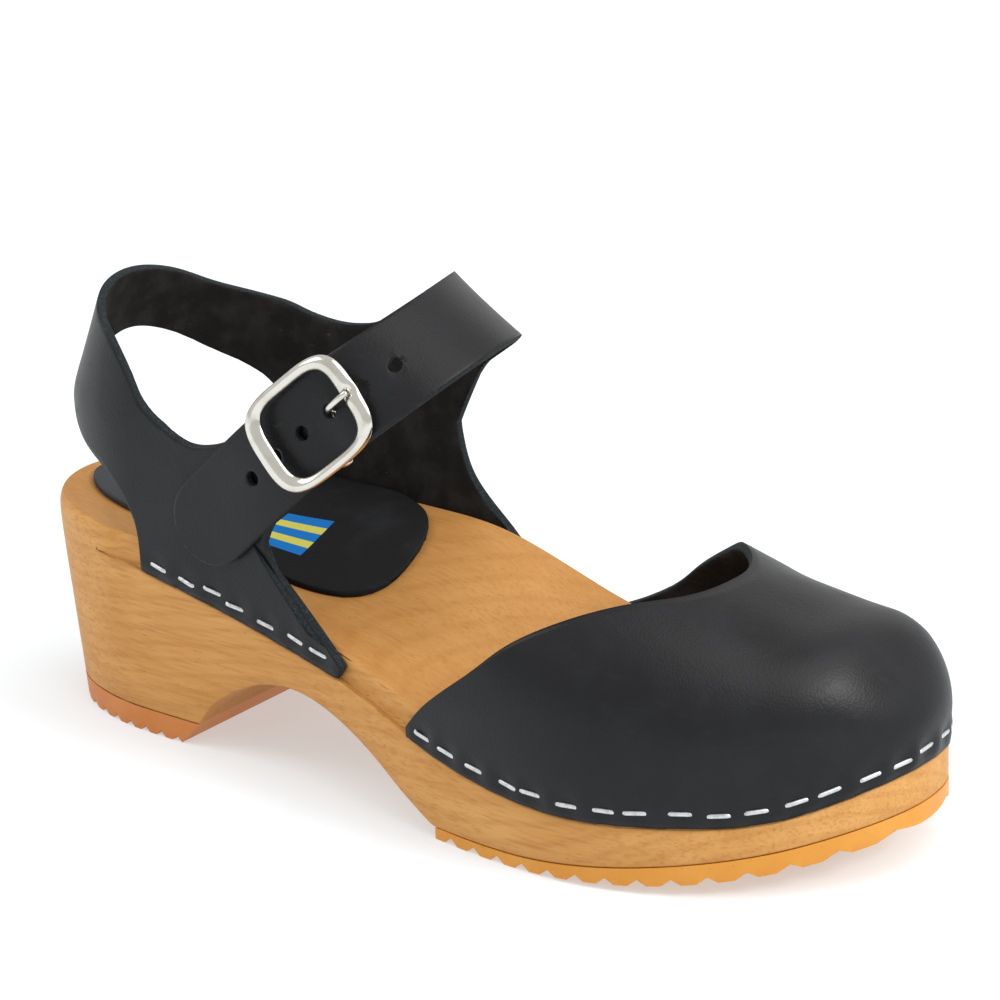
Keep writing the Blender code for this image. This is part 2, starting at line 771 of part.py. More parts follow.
def tab_end():
    """Row for the end of the buckle's tab, just short of the buckle's centre bar."""
    start, ahead, _ = strap_line()
    aside = np.array([ahead[1], -ahead[0]])
    middle = start + ahead * (BUCKLE_DOWN + PIN_DIAMETER / 2 + TAB_SHORT)
    half = STRAP_WIDTH / 2 - TAB_INSET
    edges = []
    for across in (half, -half):
        x, z = middle + aside * across
        edges.append((LOOP_FRONT - LOOP_QUARTER - x / SHOE_LENGTH, z / SLING_HEIGHT))
    return "tab end", edges[0], edges[1], 2


def edge_curves():
    """Smooth upper and lower edges of the back piece, with corners where it has them."""
    rows = (tab_end(),) + BACK_ROWS
    names = [row[0] for row in rows]
    knots = np.cumsum([0] + [row[3] for row in rows[:-1]]).astype(float)
    upper = np.array([row[1] for row in rows])
    lower_way = np.array([row[2][0] for row in rows])
    heights = []
    for row in rows:
        if row[2][1] is None:
            heights.append((wall(row[2][0] * SHOE_LENGTH, None)[2]) / SLING_HEIGHT)
        else:
            heights.append(row[2][1])
    heights = np.array(heights)
    lower = []
    upper_points = []
    corners = sorted({0, len(names) - 1} | {names.index(c) for c in CORNERS})
    for k in range(int(knots[-1]) + 1):
        i = int(np.clip(np.searchsorted(knots, k) - 1, 0, len(knots) - 2))
        upper_points.append([smooth(knots, upper[:, 0], k), smooth(knots, upper[:, 1], k)])
        first = max(c for c in corners if c <= i)
        last = min(c for c in corners if c > i)
        part = slice(first, last + 1)
        on_ledge = rows[first][2][1] is None and rows[last][2][1] is None and last == first + 1
        way = smooth(knots[part], lower_way[part], k)
        height = None if on_ledge else smooth(knots[part], heights[part], k)
        lower.append([way, height])
    return upper_points, lower


def arch_row(beta):
    """Upper and lower edge points of the instep strap's arch, from outer side to inner."""
    length, height = SHOE_LENGTH, SLING_HEIGHT
    outer = wall_at(ARCH_OUTER, -1, LEATHER + GAP)
    inner = wall_at(ARCH_INNER, 1, 0.0)
    share = (1 - math.cos(beta)) / 2
    base = outer + (inner - outer) * share
    middle = (outer + inner) / 2
    top = np.array([ARCH_TOP[0] * length, middle[1], ARCH_TOP[1] * height])
    rise = math.sin(beta)
    centre = base + (top - middle) * rise
    tilt_side = TILT_SIDE + (TILT_INNER - TILT_SIDE) * share
    tilt = tilt_side + (TILT_TOP - tilt_side) * math.sqrt(max(rise, 0.0))
    axis = np.array([math.cos(tilt), 0.0, -math.sin(tilt)])
    sweep = (inner - outer) / 2 * rise + (top - middle) * math.cos(beta)
    sweep /= np.linalg.norm(sweep)
    axis -= sweep * np.dot(axis, sweep)
    axis /= np.linalg.norm(axis)
    return centre - axis * STRAP_WIDTH / 2, centre + axis * STRAP_WIDTH / 2


def wall_at(place, side, proud):
    """Wall point from shares of the length and of the sling's height."""
    x = place[0] * SHOE_LENGTH
    way = side * (LOOP_QUARTER * SHOE_LENGTH + x - LOOP_FRONT * SHOE_LENGTH)
    return wall(way, place[1] * SLING_HEIGHT, proud)


def strap_line():
    """Start, direction and length of the strap's straight run down the outer side."""
    start = np.array([ARCH_OUTER[0] * SHOE_LENGTH, ARCH_OUTER[1] * SLING_HEIGHT])
    stop = np.array([STRAP_TIP[0] * SHOE_LENGTH, STRAP_TIP[1] * SLING_HEIGHT])
    length = np.linalg.norm(stop - start)
    return start, (stop - start) / length, length


def strap_point(along, across, proud):
    """Point on the strap's straight run; across is positive towards the heel."""
    start, ahead, _ = strap_line()
    aside = np.array([ahead[1], -ahead[0]])
    spot = start + ahead * along + aside * across
    return wall_at((spot[0] / SHOE_LENGTH, spot[1] / SLING_HEIGHT), -1, proud)


def back_piece(mat):
    """Quarters, heel sling and instep strap, cut from one leather."""
    columns = 7
    upper, lower = edge_curves()
    grid = []
    for (up_way, up_z), (low_way, low_z) in zip(upper, lower):
        low_z_value = wall(low_way * SHOE_LENGTH, None)[2] if low_z is None else low_z * SLING_HEIGHT
        row = []
        for c in range(columns):
            share = c / (columns - 1)
            way = (up_way + (low_way - up_way) * share) * SHOE_LENGTH
            z = up_z * SLING_HEIGHT + (low_z_value - up_z * SLING_HEIGHT) * share
            row.append(wall(way, z))
        grid.append(row)
    for step in range(1, ARCH_STEPS):
        top_edge, low_edge = arch_row(math.pi * (1 - step / ARCH_STEPS))
        grid.append([top_edge + (low_edge - top_edge) * c / (columns - 1) for c in range(columns)])
    _, _, run = strap_line()
    half = STRAP_WIDTH / 2
    for i in range(10):
        grid.append(strap_row((run - half) * i / 9, half, columns))
    for i in range(1, 6):
        angle = math.pi / 2 * i / 5.15
        grid.append(strap_row(run - half + half * math.sin(angle), half * math.cos(angle), columns))
    leather = wall_object("back_piece", np.array(grid), mat, facing=-1)
    cutter = hole_cutters()
    combine(leather, cutter, "DIFFERENCE")
    return leather


def strap_row(along, half, columns):
    """Points across the strap's straight run."""
    row = []
    for c in range(columns):
        across = half * (1 - 2 * c / (columns - 1))
        row.append(strap_point(along, across, LEATHER + GAP))
    return row


@functools.lru_cache(maxsize=None)
def arch_lengths():
    """Distances up the outer half of the arch's centre line, with their angles."""
    betas = [math.pi / 2 * i / 40 for i in range(41)]
    centres = [sum(arch_row(beta)) / 2 for beta in betas]
    gone = [0.0]
    for near, far in zip(centres, centres[1:]):
        gone.append(gone[-1] + float(np.linalg.norm(far - near)))
    return gone, betas


def strap_surface(down, across):
    """Outer face of the instep strap; down is 0 where the arch begins and grows to the tip."""
    if down >= 0.0:
        return strap_point(down, across, LEATHER + GAP)
    gone, betas = arch_lengths()
    upper, lower = arch_row(float(np.interp(-down, gone, betas)))
    return (upper + lower) / 2 + (upper - lower) / STRAP_WIDTH * across


def strap_frame(down):
    """Point and axes on the strap: up along it, across it towards the heel, and outward."""
    step = 0.001
    up = strap_surface(down - step, 0.0) - strap_surface(down + step, 0.0)
    up /= np.linalg.norm(up)
    out = np.cross(up, strap_surface(down, step) - strap_surface(down, -step))
    out /= np.linalg.norm(out)
    return strap_surface(down, 0.0), up, np.cross(out, up), out


def hole_cutters():
    """Cylinders for the strap's row of holes, which stop short of the leather below."""
    sides = 20
    points = []
    faces = []
    for k in range(-HOLES_UP, HOLES_DOWN + 1):
        spot, up, across, out = strap_frame(BUCKLE_DOWN - PRONG_HOLE + HOLE_PITCH * k)
        first = len(points)
        for depth in (-LEATHER / 2, LEATHER + GAP / 2):
            for i in range(sides):
                angle = 2 * math.pi * i / sides
                flat = up * math.cos(angle) + across * math.sin(angle)
                points.append(tuple(spot + flat * STRAP_HOLE / 2 - out * depth))
        for i in range(sides):
            j = (i + 1) % sides
            faces.append((first + i, first + j, first + sides + j, first + sides + i))
        faces.append(tuple(first + i for i in range(sides)))
        faces.append(tuple(first + sides + i for i in range(sides)))
    return mesh_object("hole_cutters", points, faces, None)


def combine(obj, other, operation):
    """Join or cut an object with another one, which is used up."""
    boolean = obj.modifiers.new("combine", "BOOLEAN")
    boolean.operation = operation
    boolean.solver = "EXACT"
    boolean.object = other
    graph = bpy.context.evaluated_depsgraph_get()
    mesh = bpy.data.meshes.new_from_object(obj.evaluated_get(graph))
    obj.modifiers.clear()
    obj.data = mesh
    mesh.shade_smooth()
    mesh.set_sharp_from_angle(angle=math.radians(40))
    bpy.data.objects.remove(other, do_unlink=True)


@functools.lru_cache(maxsize=None)
def buckle_axes():
    """The buckle's middle and axes, with w = 0 just clear of the strap under its frame.

    The last value is the depth of the centre bar's middle, under the strap.
    """
    low = strap_surface(BUCKLE_DOWN + BUCKLE_LENGTH / 2, 0.0)
    high = strap_surface(BUCKLE_DOWN - BUCKLE_LENGTH / 2, 0.0)
    middle = strap_surface(BUCKLE_DOWN, 0.0)
    up = (high - low) / np.linalg.norm(high - low)
    across = sum(strap_frame(BUCKLE_DOWN + BUCKLE_LENGTH * (i / 8 - 0.25))[2] for i in range(5))
    out = np.cross(up, across)
    out /= np.linalg.norm(out)
    across = np.cross(out, up)

    def heights(downs):
        spots = [strap_surface(down, STRAP_WIDTH * (j / 8 - 0.5)) for down in downs for j in range(9)]
        return [float(np.dot(spot - middle, out)) for spot in spots]

    lift = max(heights([BUCKLE_DOWN + BUCKLE_LENGTH * (i / 12 - 0.5) for i in range(13)])) + GAP
    over_bar = min(heights([BUCKLE_DOWN - PIN_DIAMETER / 2, BUCKLE_DOWN + PIN_DIAMETER / 2]))
    bar = over_bar - lift - LEATHER - GAP - PIN_DIAMETER / 2
    return middle + out * lift, up, across, out, bar


def in_buckle(up, across, out):
    """Turn buckle coordinates into a point in space."""
    middle, up_axis, across_axis, out_axis, _ = buckle_axes()
    return tuple(middle + up_axis * up + across_axis * across + out_axis * out)


def rounded(half_long, half_wide, power, angle):
    """Distance from the middle to a rounded oblong's edge, in one direction."""
    long = abs(math.cos(angle)) / half_long
    wide = abs(math.sin(angle)) / half_wide
    return (long ** power + wide ** power) ** (-1 / power)


def swept(path, radii, depth, place, sides=8):
    """Points and faces of an oval bar along a flat path.

    radii lie in the path's plane and depth is the half size across it; place turns the
    two coordinates of the plane and the one across it into space.
    """
    points = []
    for i, (a, b) in enumerate(path):
        before = path[max(i - 1, 0)]
        after = path[min(i + 1, len(path) - 1)]
        length = math.hypot(after[0] - before[0], after[1] - before[1])
        normal = (-(after[1] - before[1]) / length, (after[0] - before[0]) / length)
        full = radii[i] / max(radii)
        for k in range(sides):
            angle = 2 * math.pi * (k + 0.5) / sides
            swing = radii[i] * math.cos(angle)
            cross = depth * math.sin(angle) * (full if i in (0, len(path) - 1) else 1.0)
            points.append(place(a + normal[0] * swing, b + normal[1] * swing, cross))
    faces = ring_faces(len(path), sides)
    faces.append(tuple(range(sides)))
    faces.append(tuple(range((len(path) - 1) * sides, len(path) * sides)))
    return points, faces


def buckle_frame(mat):
    """The buckle's rounded frame, with its centre bar held on two short legs."""
    half_long = BUCKLE_LENGTH / 2
    half_wide = STRAP_WIDTH / 2 + GAP + LEG_THICKNESS + GAP
    middle, _, across, _, bar = buckle_axes()
    hole = strap_surface(BUCKLE_DOWN - PRONG_HOLE, 0.0) - middle
    notch_at = math.atan2(float(hole @ across), half_long)
    angles = [notch_at + 2 * math.pi * i / 44 for i in range(44)]
    angles += [notch_at + NOTCH_HALF * 0.45, notch_at + 2 * math.pi - NOTCH_HALF * 0.45]
    angles.sort()
    points = []
    for angle in angles:
        outer = rounded(half_long, half_wide, OUTER_POWER, angle)
        inner = rounded(half_long - BAR_ACROSS, half_wide - BAR_SIDE, INNER_POWER, angle)
        off = min(angle - notch_at, 2 * math.pi + notch_at - angle)
        notch = NOTCH_DEPTH * max(0.0, 1 - off / NOTCH_HALF)
        arch = BAR_ARCH * math.cos(angle) ** 2
        for share, height in FRAME_SECTION:
            far = outer + (inner - outer) * share
            out = arch + BAR_THICKNESS * height * (1 - notch)
            points.append(in_buckle(far * math.cos(angle), far * math.sin(angle), out))
    around = len(FRAME_SECTION)
    faces = ring_faces(len(angles), around) + last_to_first(len(angles), around)
    frame = mesh_object("buckle_frame", points, faces, mat)
    leg = half_wide - GAP - LEG_THICKNESS / 2
    turn = PIN_DIAMETER / 2
    path = [(-leg, BAR_THICKNESS / 2), (-leg, bar + turn), (-leg + turn * 0.3, bar + turn * 0.3), (-leg + turn, bar)]
    radii = [LEG_THICKNESS / 2, LEG_THICKNESS / 2, LEG_THICKNESS * 0.7, PIN_DIAMETER / 2]
    path += [(-a, w) for a, w in reversed(path)]
    radii += list(reversed(radii))
    points, faces = swept(path, radii, PIN_DIAMETER / 2, lambda a, w, q: in_buckle(q, a, w))
    combine(frame, mesh_object("centre_bar", points, faces, mat), "UNION")
    return frame


def last_to_first(rings, around):
    """Quads from the last ring back to the first one."""
    faces = []
    last = (rings - 1) * around
    for i in range(around):
        j = (i + 1) % around
        faces.append((last + i, last + j, j, i))
    return faces


def buckle_prong(mat):
    """The prong: hooked round the centre bar, up through a hole and onto the frame."""
    bar = buckle_axes()[4]
    radius = PRONG_DIAMETER / 2
    turn = PIN_DIAMETER / 2 + GAP / 2 + radius
    path = []
    for i in range(7):
        angle = -PRONG_HOOK * (1 - i / 6)
        path.append((turn * math.cos(angle), bar + turn * math.sin(angle)))
    middle, up, across, out, _ = buckle_axes()
    hole = strap_surface(BUCKLE_DOWN - PRONG_HOLE, 0.0) - middle
    hole_up, hole_side, strap = float(hole @ up), float(hole @ across), float(hole @ out)
    low = min(bar + PIN_DIAMETER / 2, strap - LEATHER - GAP) - radius - 2 * GAP
    notch = BAR_ARCH + BAR_THICKNESS * (1 - NOTCH_DEPTH) + GAP + radius
    inner = BUCKLE_LENGTH / 2 - BAR_ACROSS
    path += [
        (hole_up - radius * 1.7, low),
        (hole_up - radius * 0.7, strap - LEATHER),
        (hole_up - radius * 0.1, strap - LEATHER * 0.4),
        (hole_up + radius * 0.5, strap + radius * 0.6),
        (hole_up + radius * 1.6, strap + (notch - strap) * 0.7),
        (inner, notch),
        (PRONG_REACH - radius * 0.5, notch),
        (PRONG_REACH, notch - radius * 0.1),
    ]
    radii = [radius] * (len(path) - 1) + [radius * 0.6]
    points, faces = swept(path, radii, radius, lambda a, w, q: in_buckle(a, hole_side + q, w))
    return mesh_object("buckle_prong", points, faces, mat)


def build():
    """Model every piece and hang it on the shoe's empty."""
    clear_scene()
    mats = {name: material(name) for name in COLOURS}
    pieces = [
        wood_base(mats["alder"]),
        heel_outsole(mats["rubber_heel"]),
        forefoot_outsole(mats["rubber_fore"]),
        heel_pad(mats["sock"]),
        vamp(mats["leather"]),
        back_piece(mats["leather"]),
        buckle_frame(mats["nickel"]),
        buckle_prong(mats["nickel"]),
    ]
    shoe = bpy.data.objects.new("clog_sandal", None)
    bpy.context.collection.objects.link(shoe)
    shoe.location = (-heel_crest(), 0.0, 0.0)
    for piece in pieces:
        piece.parent = shoe


build()
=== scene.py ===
"""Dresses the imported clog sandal, a right shoe, and stands it in a pale studio.

Each CAD solid is stood for by a finished copy of itself: leather with a cut edge and a flesh side,
carved alder, ribbed rubber, a nickel buckle, a sock lining, and the staples that nail the upper on.
Lengths are metres in the row frame: X runs from the heel to the toe, the buckle side is -Y, Z is up.
"""

import logging
import math
from dataclasses import dataclass
from enum import Enum
from typing import Any, Optional, Sequence, Union

import bmesh
import bpy
from mathutils import Matrix, Vector
from mathutils.bvhtree import BVHTree


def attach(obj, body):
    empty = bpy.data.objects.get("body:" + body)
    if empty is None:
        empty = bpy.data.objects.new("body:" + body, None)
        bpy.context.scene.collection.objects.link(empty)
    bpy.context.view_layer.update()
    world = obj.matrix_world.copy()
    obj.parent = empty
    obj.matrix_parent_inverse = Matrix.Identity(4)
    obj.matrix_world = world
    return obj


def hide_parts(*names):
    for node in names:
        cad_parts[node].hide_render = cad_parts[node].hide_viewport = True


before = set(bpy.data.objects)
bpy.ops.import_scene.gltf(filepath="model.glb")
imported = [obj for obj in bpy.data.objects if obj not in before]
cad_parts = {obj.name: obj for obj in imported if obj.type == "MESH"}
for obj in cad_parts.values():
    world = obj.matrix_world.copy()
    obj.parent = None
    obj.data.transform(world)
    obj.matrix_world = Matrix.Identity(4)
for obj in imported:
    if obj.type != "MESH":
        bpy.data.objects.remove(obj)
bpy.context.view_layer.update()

LOG = logging.getLogger("clog_sandal")
BODY = "root"
MERGE_DISTANCE = 0.00001
SHARP_ANGLE = math.radians(40)
QUAD_ANGLE = math.radians(30)
QUAD_SHAPE = math.radians(60)
UPWARD = 0.7
TINY_AREA = 1e-12

Colour = tuple[float, float, float]
Place = tuple[float, float, float]


class Side(Enum):
    """The two faces of a piece of leather, and the edge that the knife leaves."""

    GRAIN = 0
    FLESH = 1
    CUT = 2


class Value:
    """A socket that carries a number. Arithmetic on it adds Math nodes."""

    def __init__(self, graph: "Graph", socket: bpy.types.NodeSocket) -> None:
        """Wraps one socket.

        Args:
            graph: The material's graph, which holds the socket's node.
            socket: The output socket to read.
        """
        self.graph = graph
        self.socket = socket

    def _maths(self, operation: str, first: "Number", second: "Number") -> "Value":
        """Adds one Math node.

        Args:
            operation: The node's operation.
            first: Its first number.
            second: Its second number.

        Returns:
            The node's result.
        """
        node = self.graph.node("ShaderNodeMath", {"operation": operation}, {0: first, 1: second})
        return Value(self.graph, node.outputs[0])

    def __add__(self, other: "Number") -> "Value":
        """The sum."""
        return self._maths("ADD", self, other)

    __radd__ = __add__

    def __sub__(self, other: "Number") -> "Value":
        """The difference."""
        return self._maths("SUBTRACT", self, other)

    def __rsub__(self, other: "Number") -> "Value":
        """The difference, the other way round."""
        return self._maths("SUBTRACT", other, self)

    def __mul__(self, other: "Number") -> "Value":
        """The product."""
        return self._maths("MULTIPLY", self, other)

    __rmul__ = __mul__

    def root(self) -> "Value":
        """The square root of this value."""
        return self._maths("SQRT", self, 0.0)

    def sine(self) -> "Value":
        """The sine of this value, in radians."""
        return self._maths("SINE", self, 0.0)

    def ramp(self, low: float, high: float) -> "Value":
        """Runs smoothly from 0 at low to 1 at high.

        Args:
            low: The value that gives 0.
            high: The value that gives 1. It may be the smaller of the two.

        Returns:
            The eased share.
        """
        turned = high < low
        settings = {"interpolation_type": "SMOOTHSTEP"}
        limits = {"From Min": min(low, high), "From Max": max(low, high)}
        node = self.graph.node("ShaderNodeMapRange", settings, {"Value": self, **limits})
        share = Value(self.graph, node.outputs["Result"])
        return 1 - share if turned else share


Number = Union[float, Value]
Input = Union[float, Sequence[float], Value, bpy.types.NodeSocket]


class Graph:
    """The nodes of one material, built from its Principled shader backwards."""

    def __init__(self, name: str) -> None:
        """Makes an empty material.

        Args:
            name: The material's name.
        """
        self.material = bpy.data.materials.new(name)
        self.material.use_nodes = True
        self.tree = self.material.node_tree
        self.tree.nodes.clear()
        self.place = self.node("ShaderNodeTexCoord", {}, {}).outputs["Object"]

    def node(self, kind: str, settings: dict[str, Any], inputs: dict[Any, Input]) -> bpy.types.Node:
        """Adds one node.

        Args:
            kind: The node's type.
            settings: The node's own settings, which are set first.
            inputs: A value or a link for each socket, by its name or number.

        Returns:
            The node.
        """
        node = self.tree.nodes.new(kind)
        for key, setting in settings.items():
            setattr(node, key, setting)
        for key, item in inputs.items():
            socket = node.inputs[key]
            link = item.socket if isinstance(item, Value) else item
            if isinstance(link, bpy.types.NodeSocket):
                self.tree.links.new(link, socket)
            else:
                socket.default_value = link
        return node

    def stretched(self, scale: Sequence[float],
                  turn: Sequence[float] = (0, 0, 0)) -> bpy.types.NodeSocket:
        """Object coordinates, turned and then scaled along each axis.

        Args:
            scale: The scale along X, Y and Z.
            turn: The turn about X, Y and Z, in radians.

        Returns:
            The coordinates' socket.
        """
        inputs = {"Vector": self.place, "Rotation": tuple(turn), "Scale": tuple(scale)}
        return self.node("ShaderNodeMapping", {"vector_type": "POINT"}, inputs).outputs["Vector"]

    def noise(self, scale: float, detail: float = 3.0, place: Optional[bpy.types.NodeSocket] = None,
              distortion: float = 0.0) -> Value:
        """Cloudy noise from 0 to 1.

        Args:
            scale: How many features there are to a metre of the coordinates.
            detail: How many finer layers lie over the first.
            place: The coordinates, or the object's own.
            distortion: How far the clouds are twisted.

        Returns:
            The noise.
        """
        inputs = {"Vector": place or self.place, "Scale": scale, "Detail": detail, "Distortion": distortion}
        return Value(self, self.node("ShaderNodeTexNoise", {}, inputs).outputs["Fac"])

    def cells(self, scale: float, place: Optional[bpy.types.NodeSocket] = None) -> Value:
        """The distance to the nearest of many scattered points.

        Args:
            scale: How many points there are to a metre of the coordinates.
            place: The coordinates, or the object's own.

        Returns:
            The distance, in shares of a cell.
        """
        inputs = {"Vector": place or self.place, "Scale": scale}
        node = self.node("ShaderNodeTexVoronoi", {"feature": "SMOOTH_F1"}, inputs)
        return Value(self, node.outputs["Distance"])

    def axes(self, vector: Optional[bpy.types.NodeSocket] = None) -> tuple[Value, Value, Value]:
        """The three coordinates of a vector, or of the object's own coordinates."""
        parts = self.node("ShaderNodeSeparateXYZ", {}, {"Vector": vector or self.place})
        return tuple(Value(self, output) for output in parts.outputs)

    def blend(self, first: Union[Colour, bpy.types.NodeSocket], second: Colour,
              share: Number) -> bpy.types.NodeSocket:
        """Mixes two colours.

        Args:
            first: The colour where share is 0.
            second: The colour where share is 1.
            share: How much of the second there is.

        Returns:
            The mixed colour's socket.
        """
        start = first if isinstance(first, bpy.types.NodeSocket) else (*first, 1.0)
        inputs = {0: share, 6: start, 7: (*second, 1.0)}
        return self.node("ShaderNodeMix", {"data_type": "RGBA"}, inputs).outputs[2]

    def relief(self, height: Value, depth: float,
               under: Optional[bpy.types.NodeSocket] = None) -> bpy.types.NodeSocket:
        """Turns a height into a bumped normal.

        Args:
            height: The height, from 0 to 1.
            depth: How high 1 stands, in metres.
            under: The normal of a coarser relief below this one.

        Returns:
            The normal's socket.
        """
        inputs: dict[Any, Input] = {"Height": height, "Distance": depth, "Strength": 1.0}
        if under is not None:
            inputs["Normal"] = under
        return self.node("ShaderNodeBump", {}, inputs).outputs["Normal"]

    def shade(self, inputs: dict[str, Input]) -> bpy.types.Material:
        """Closes the graph with its Principled shader.

        Args:
            inputs: The shader's sockets.

        Returns:
            The finished material.
        """
        shader = self.node("ShaderNodeBsdfPrincipled", {}, inputs)
        self.node("ShaderNodeOutputMaterial", {}, {"Surface": shader.outputs["BSDF"]})
        return self.material


@dataclass(frozen=True)
class GrainLeather:
    """The smooth, lightly waxed grain side of black-dyed leather."""

    deep: Colour = (0.0056, 0.0058, 0.0068)
    worn: Colour = (0.0125, 0.0129, 0.0143)
    pore_scale: float = 1900.0
    pore_depth: float = 0.000024
    hide_depth: float = 0.000008

    def material(self) -> bpy.types.Material:
        """Builds the material."""
        graph = Graph("charcoal_leather")
        hide = graph.noise(70.0, 4.0)
        pores = graph.cells(self.pore_scale)
        scuffs = graph.noise(260.0, 5.0, graph.stretched((0.5, 1.0, 1.6))).ramp(0.56, 0.74)
        colour = graph.blend(self.deep, self.worn, hide.ramp(0.35, 0.75) * 0.55 + scuffs * 0.3)
        surface = graph.relief(graph.noise(190.0, 3.0), self.hide_depth)
        surface = graph.relief(pores.ramp(0.1, 0.75), self.pore_depth, surface)
        return graph.shade({
            "Base Color": colour,
            "Roughness": 0.36 + hide * 0.12 + scuffs * 0.06,
            "Specular IOR Level": 0.27,
            "Normal": surface,
        })


@dataclass(frozen=True)
class FleshLeather:
    """The unlined inner face of the leather: a short brown-black nap with stray pale fibres."""

    nap: Colour = (0.0125, 0.0112, 0.0106)
    rubbed: Colour = (0.0360, 0.0325, 0.0300)
    fibre: Colour = (0.160, 0.145, 0.125)

    def material(self) -> bpy.types.Material:
        """Builds the material."""
        graph = Graph("flesh_side")
        cloud = graph.noise(150.0, 5.0)
        nap = graph.noise(2300.0, 3.0)
        hairs = graph.stretched((0.22, 1.0, 1.0), (0.4, 0.7, 0.3))
        fibres = graph.noise(900.0, 2.0, hairs, 1.4).ramp(0.70, 0.78)
        colour = graph.blend(self.nap, self.rubbed, cloud.ramp(0.35, 0.75) * 0.7)
        colour = graph.blend(colour, self.fibre, fibres * 0.35)
        return graph.shade({
            "Base Color": colour,
            "Roughness": 0.93,
            "Specular IOR Level": 0.20,
            "Normal": graph.relief(nap * 0.6 + cloud * 0.4, 0.0003),
        })


@dataclass(frozen=True)
class CutEdge:
    """The raw edge of the leather, dyed right through with a faint teal cast."""

    dye: Colour = (0.0110, 0.0155, 0.0175)
    fuzz: Colour = (0.0380, 0.0480, 0.0520)

    def material(self) -> bpy.types.Material:
        """Builds the material."""
        graph = Graph("cut_edge")
        fray = graph.noise(1400.0, 4.0)
        return graph.shade({
            "Base Color": graph.blend(self.dye, self.fuzz, fray.ramp(0.45, 0.72) * 0.6),
            "Roughness": 0.88,
            "Specular IOR Level": 0.25,
            "Normal": graph.relief(fray, 0.0002),
        })


@dataclass(frozen=True)
class AlderWood:
    """Honey-coloured alder with growth rings, fine fibres, short pores and a satin finish."""

    pale: Colour = (0.640, 0.335, 0.105)
    honey: Colour = (0.535, 0.250, 0.062)
    latewood_and_painted_shade: Colour = (0.400, 0.150, 0.026)
    pore: Colour = (0.230, 0.078, 0.014)
    upward_tone: Colour = (0.330, 0.140, 0.030)
    heart_y: float = 0.020
    heart_z: float = -0.075
    ring: float = 0.0042

    def material(self) -> bpy.types.Material:
        """Builds the material."""
        graph = Graph("alder_wood")
        x, y, z = graph.axes()
        drift = graph.noise(14.0, 3.0) * 0.036
        across = y - self.heart_y + x * 0.10 + drift
        rise = z - self.heart_z - x * 0.16
        radius = (across * across + rise * rise).root()
        rings = (radius * (2 * math.pi / self.ring)).sine() * 0.5 + 0.5
        fibre = graph.noise(1.0, 4.0, graph.stretched((60.0, 1500.0, 1500.0)))
        streak = graph.noise(1.0, 3.0, graph.stretched((14.0, 210.0, 210.0)))
        pores = graph.noise(1.0, 2.0, graph.stretched((330.0, 2600.0, 2600.0))).ramp(0.69, 0.77)
        cloud = graph.noise(26.0, 3.0)
        depth = cloud.ramp(0.3, 0.7) * 0.5 + streak.ramp(0.3, 0.7) * 0.5
        colour = graph.blend(self.pale, self.honey, depth)
        lines = rings.ramp(0.55, 1.0) * 0.20 + fibre.ramp(0.45, 0.72) * 0.42
        colour = graph.blend(colour, self.latewood_and_painted_shade, lines)
        colour = graph.blend(colour, self.pore, pores * 0.45)
        normal = graph.node("ShaderNodeNewGeometry", {}, {}).outputs["Normal"]
        upright = graph.axes(normal)[2]
        # Painted shade: faces that look downward are darkened towards the latewood colour, which the grain
        # lines above also use.
        colour = graph.blend(colour, self.latewood_and_painted_shade, upright.ramp(0.05, -0.75) * 0.55)
        # Faces that look upward are blended towards a darker, browner tone.
        colour = graph.blend(colour, self.upward_tone, upright.ramp(0.45, 0.95) * (0.38 + cloud * 0.18))
        return graph.shade({
            "Base Color": colour,
            "Roughness": 0.52 + fibre * 0.14 - rings * 0.04,
            "Specular IOR Level": 0.26,
            "Normal": graph.relief(fibre * 0.7 + rings * 0.3 - pores * 0.6, 0.00018),
        })


@dataclass(frozen=True)
class Rubber:
    """Moulded gum rubber with a satin skin, paler where it is rubbed."""

    name: str
    body: Colour
    rubbed: Colour
    roughness: float = 0.42

    def material(self) -> bpy.types.Material:
        """Builds the material."""
        graph = Graph(self.name)
        cloud = graph.noise(55.0, 3.0)
        skin = graph.noise(900.0, 3.0)
        specks = graph.cells(420.0).ramp(0.16, 0.05)
        colour = graph.blend(self.body, self.rubbed, cloud.ramp(0.35, 0.75) * 0.6)
        colour = graph.blend(colour, tuple(c * 0.62 for c in self.body), specks * 0.35)
        return graph.shade({
            "Base Color": colour,
            "Roughness": self.roughness + cloud * 0.14,
            "Specular IOR Level": 0.30,
            "Subsurface Weight": 0.12,
            "Subsurface Radius": (0.004, 0.002, 0.0008),
            "Subsurface Scale": 1.0,
            "Normal": graph.relief(skin, 0.00008),
        })


@dataclass(frozen=True)
class PolishedNickel:
    """Polished nickel plate, with the hairlines of buffing and handling."""

    plate: Colour = (0.72, 0.695, 0.63)
    tarnish: Colour = (0.50, 0.475, 0.41)

    def material(self) -> bpy.types.Material:
        """Builds the material."""
        graph = Graph("buckle_nickel")
        cloud = graph.noise(240.0, 3.0)
        hairs = graph.noise(1.0, 2.0, graph.stretched((500.0, 5200.0, 900.0), (0.3, 0.2, 0.6)))
        return graph.shade({
            "Base Color": graph.blend(self.plate, self.tarnish, cloud.ramp(0.4, 0.8) * 0.5),
            "Metallic": 1.0,
            "Roughness": 0.10 + cloud * 0.10 + hairs.ramp(0.6, 0.8) * 0.08,
            "Normal": graph.relief(cloud, 0.00005),
        })


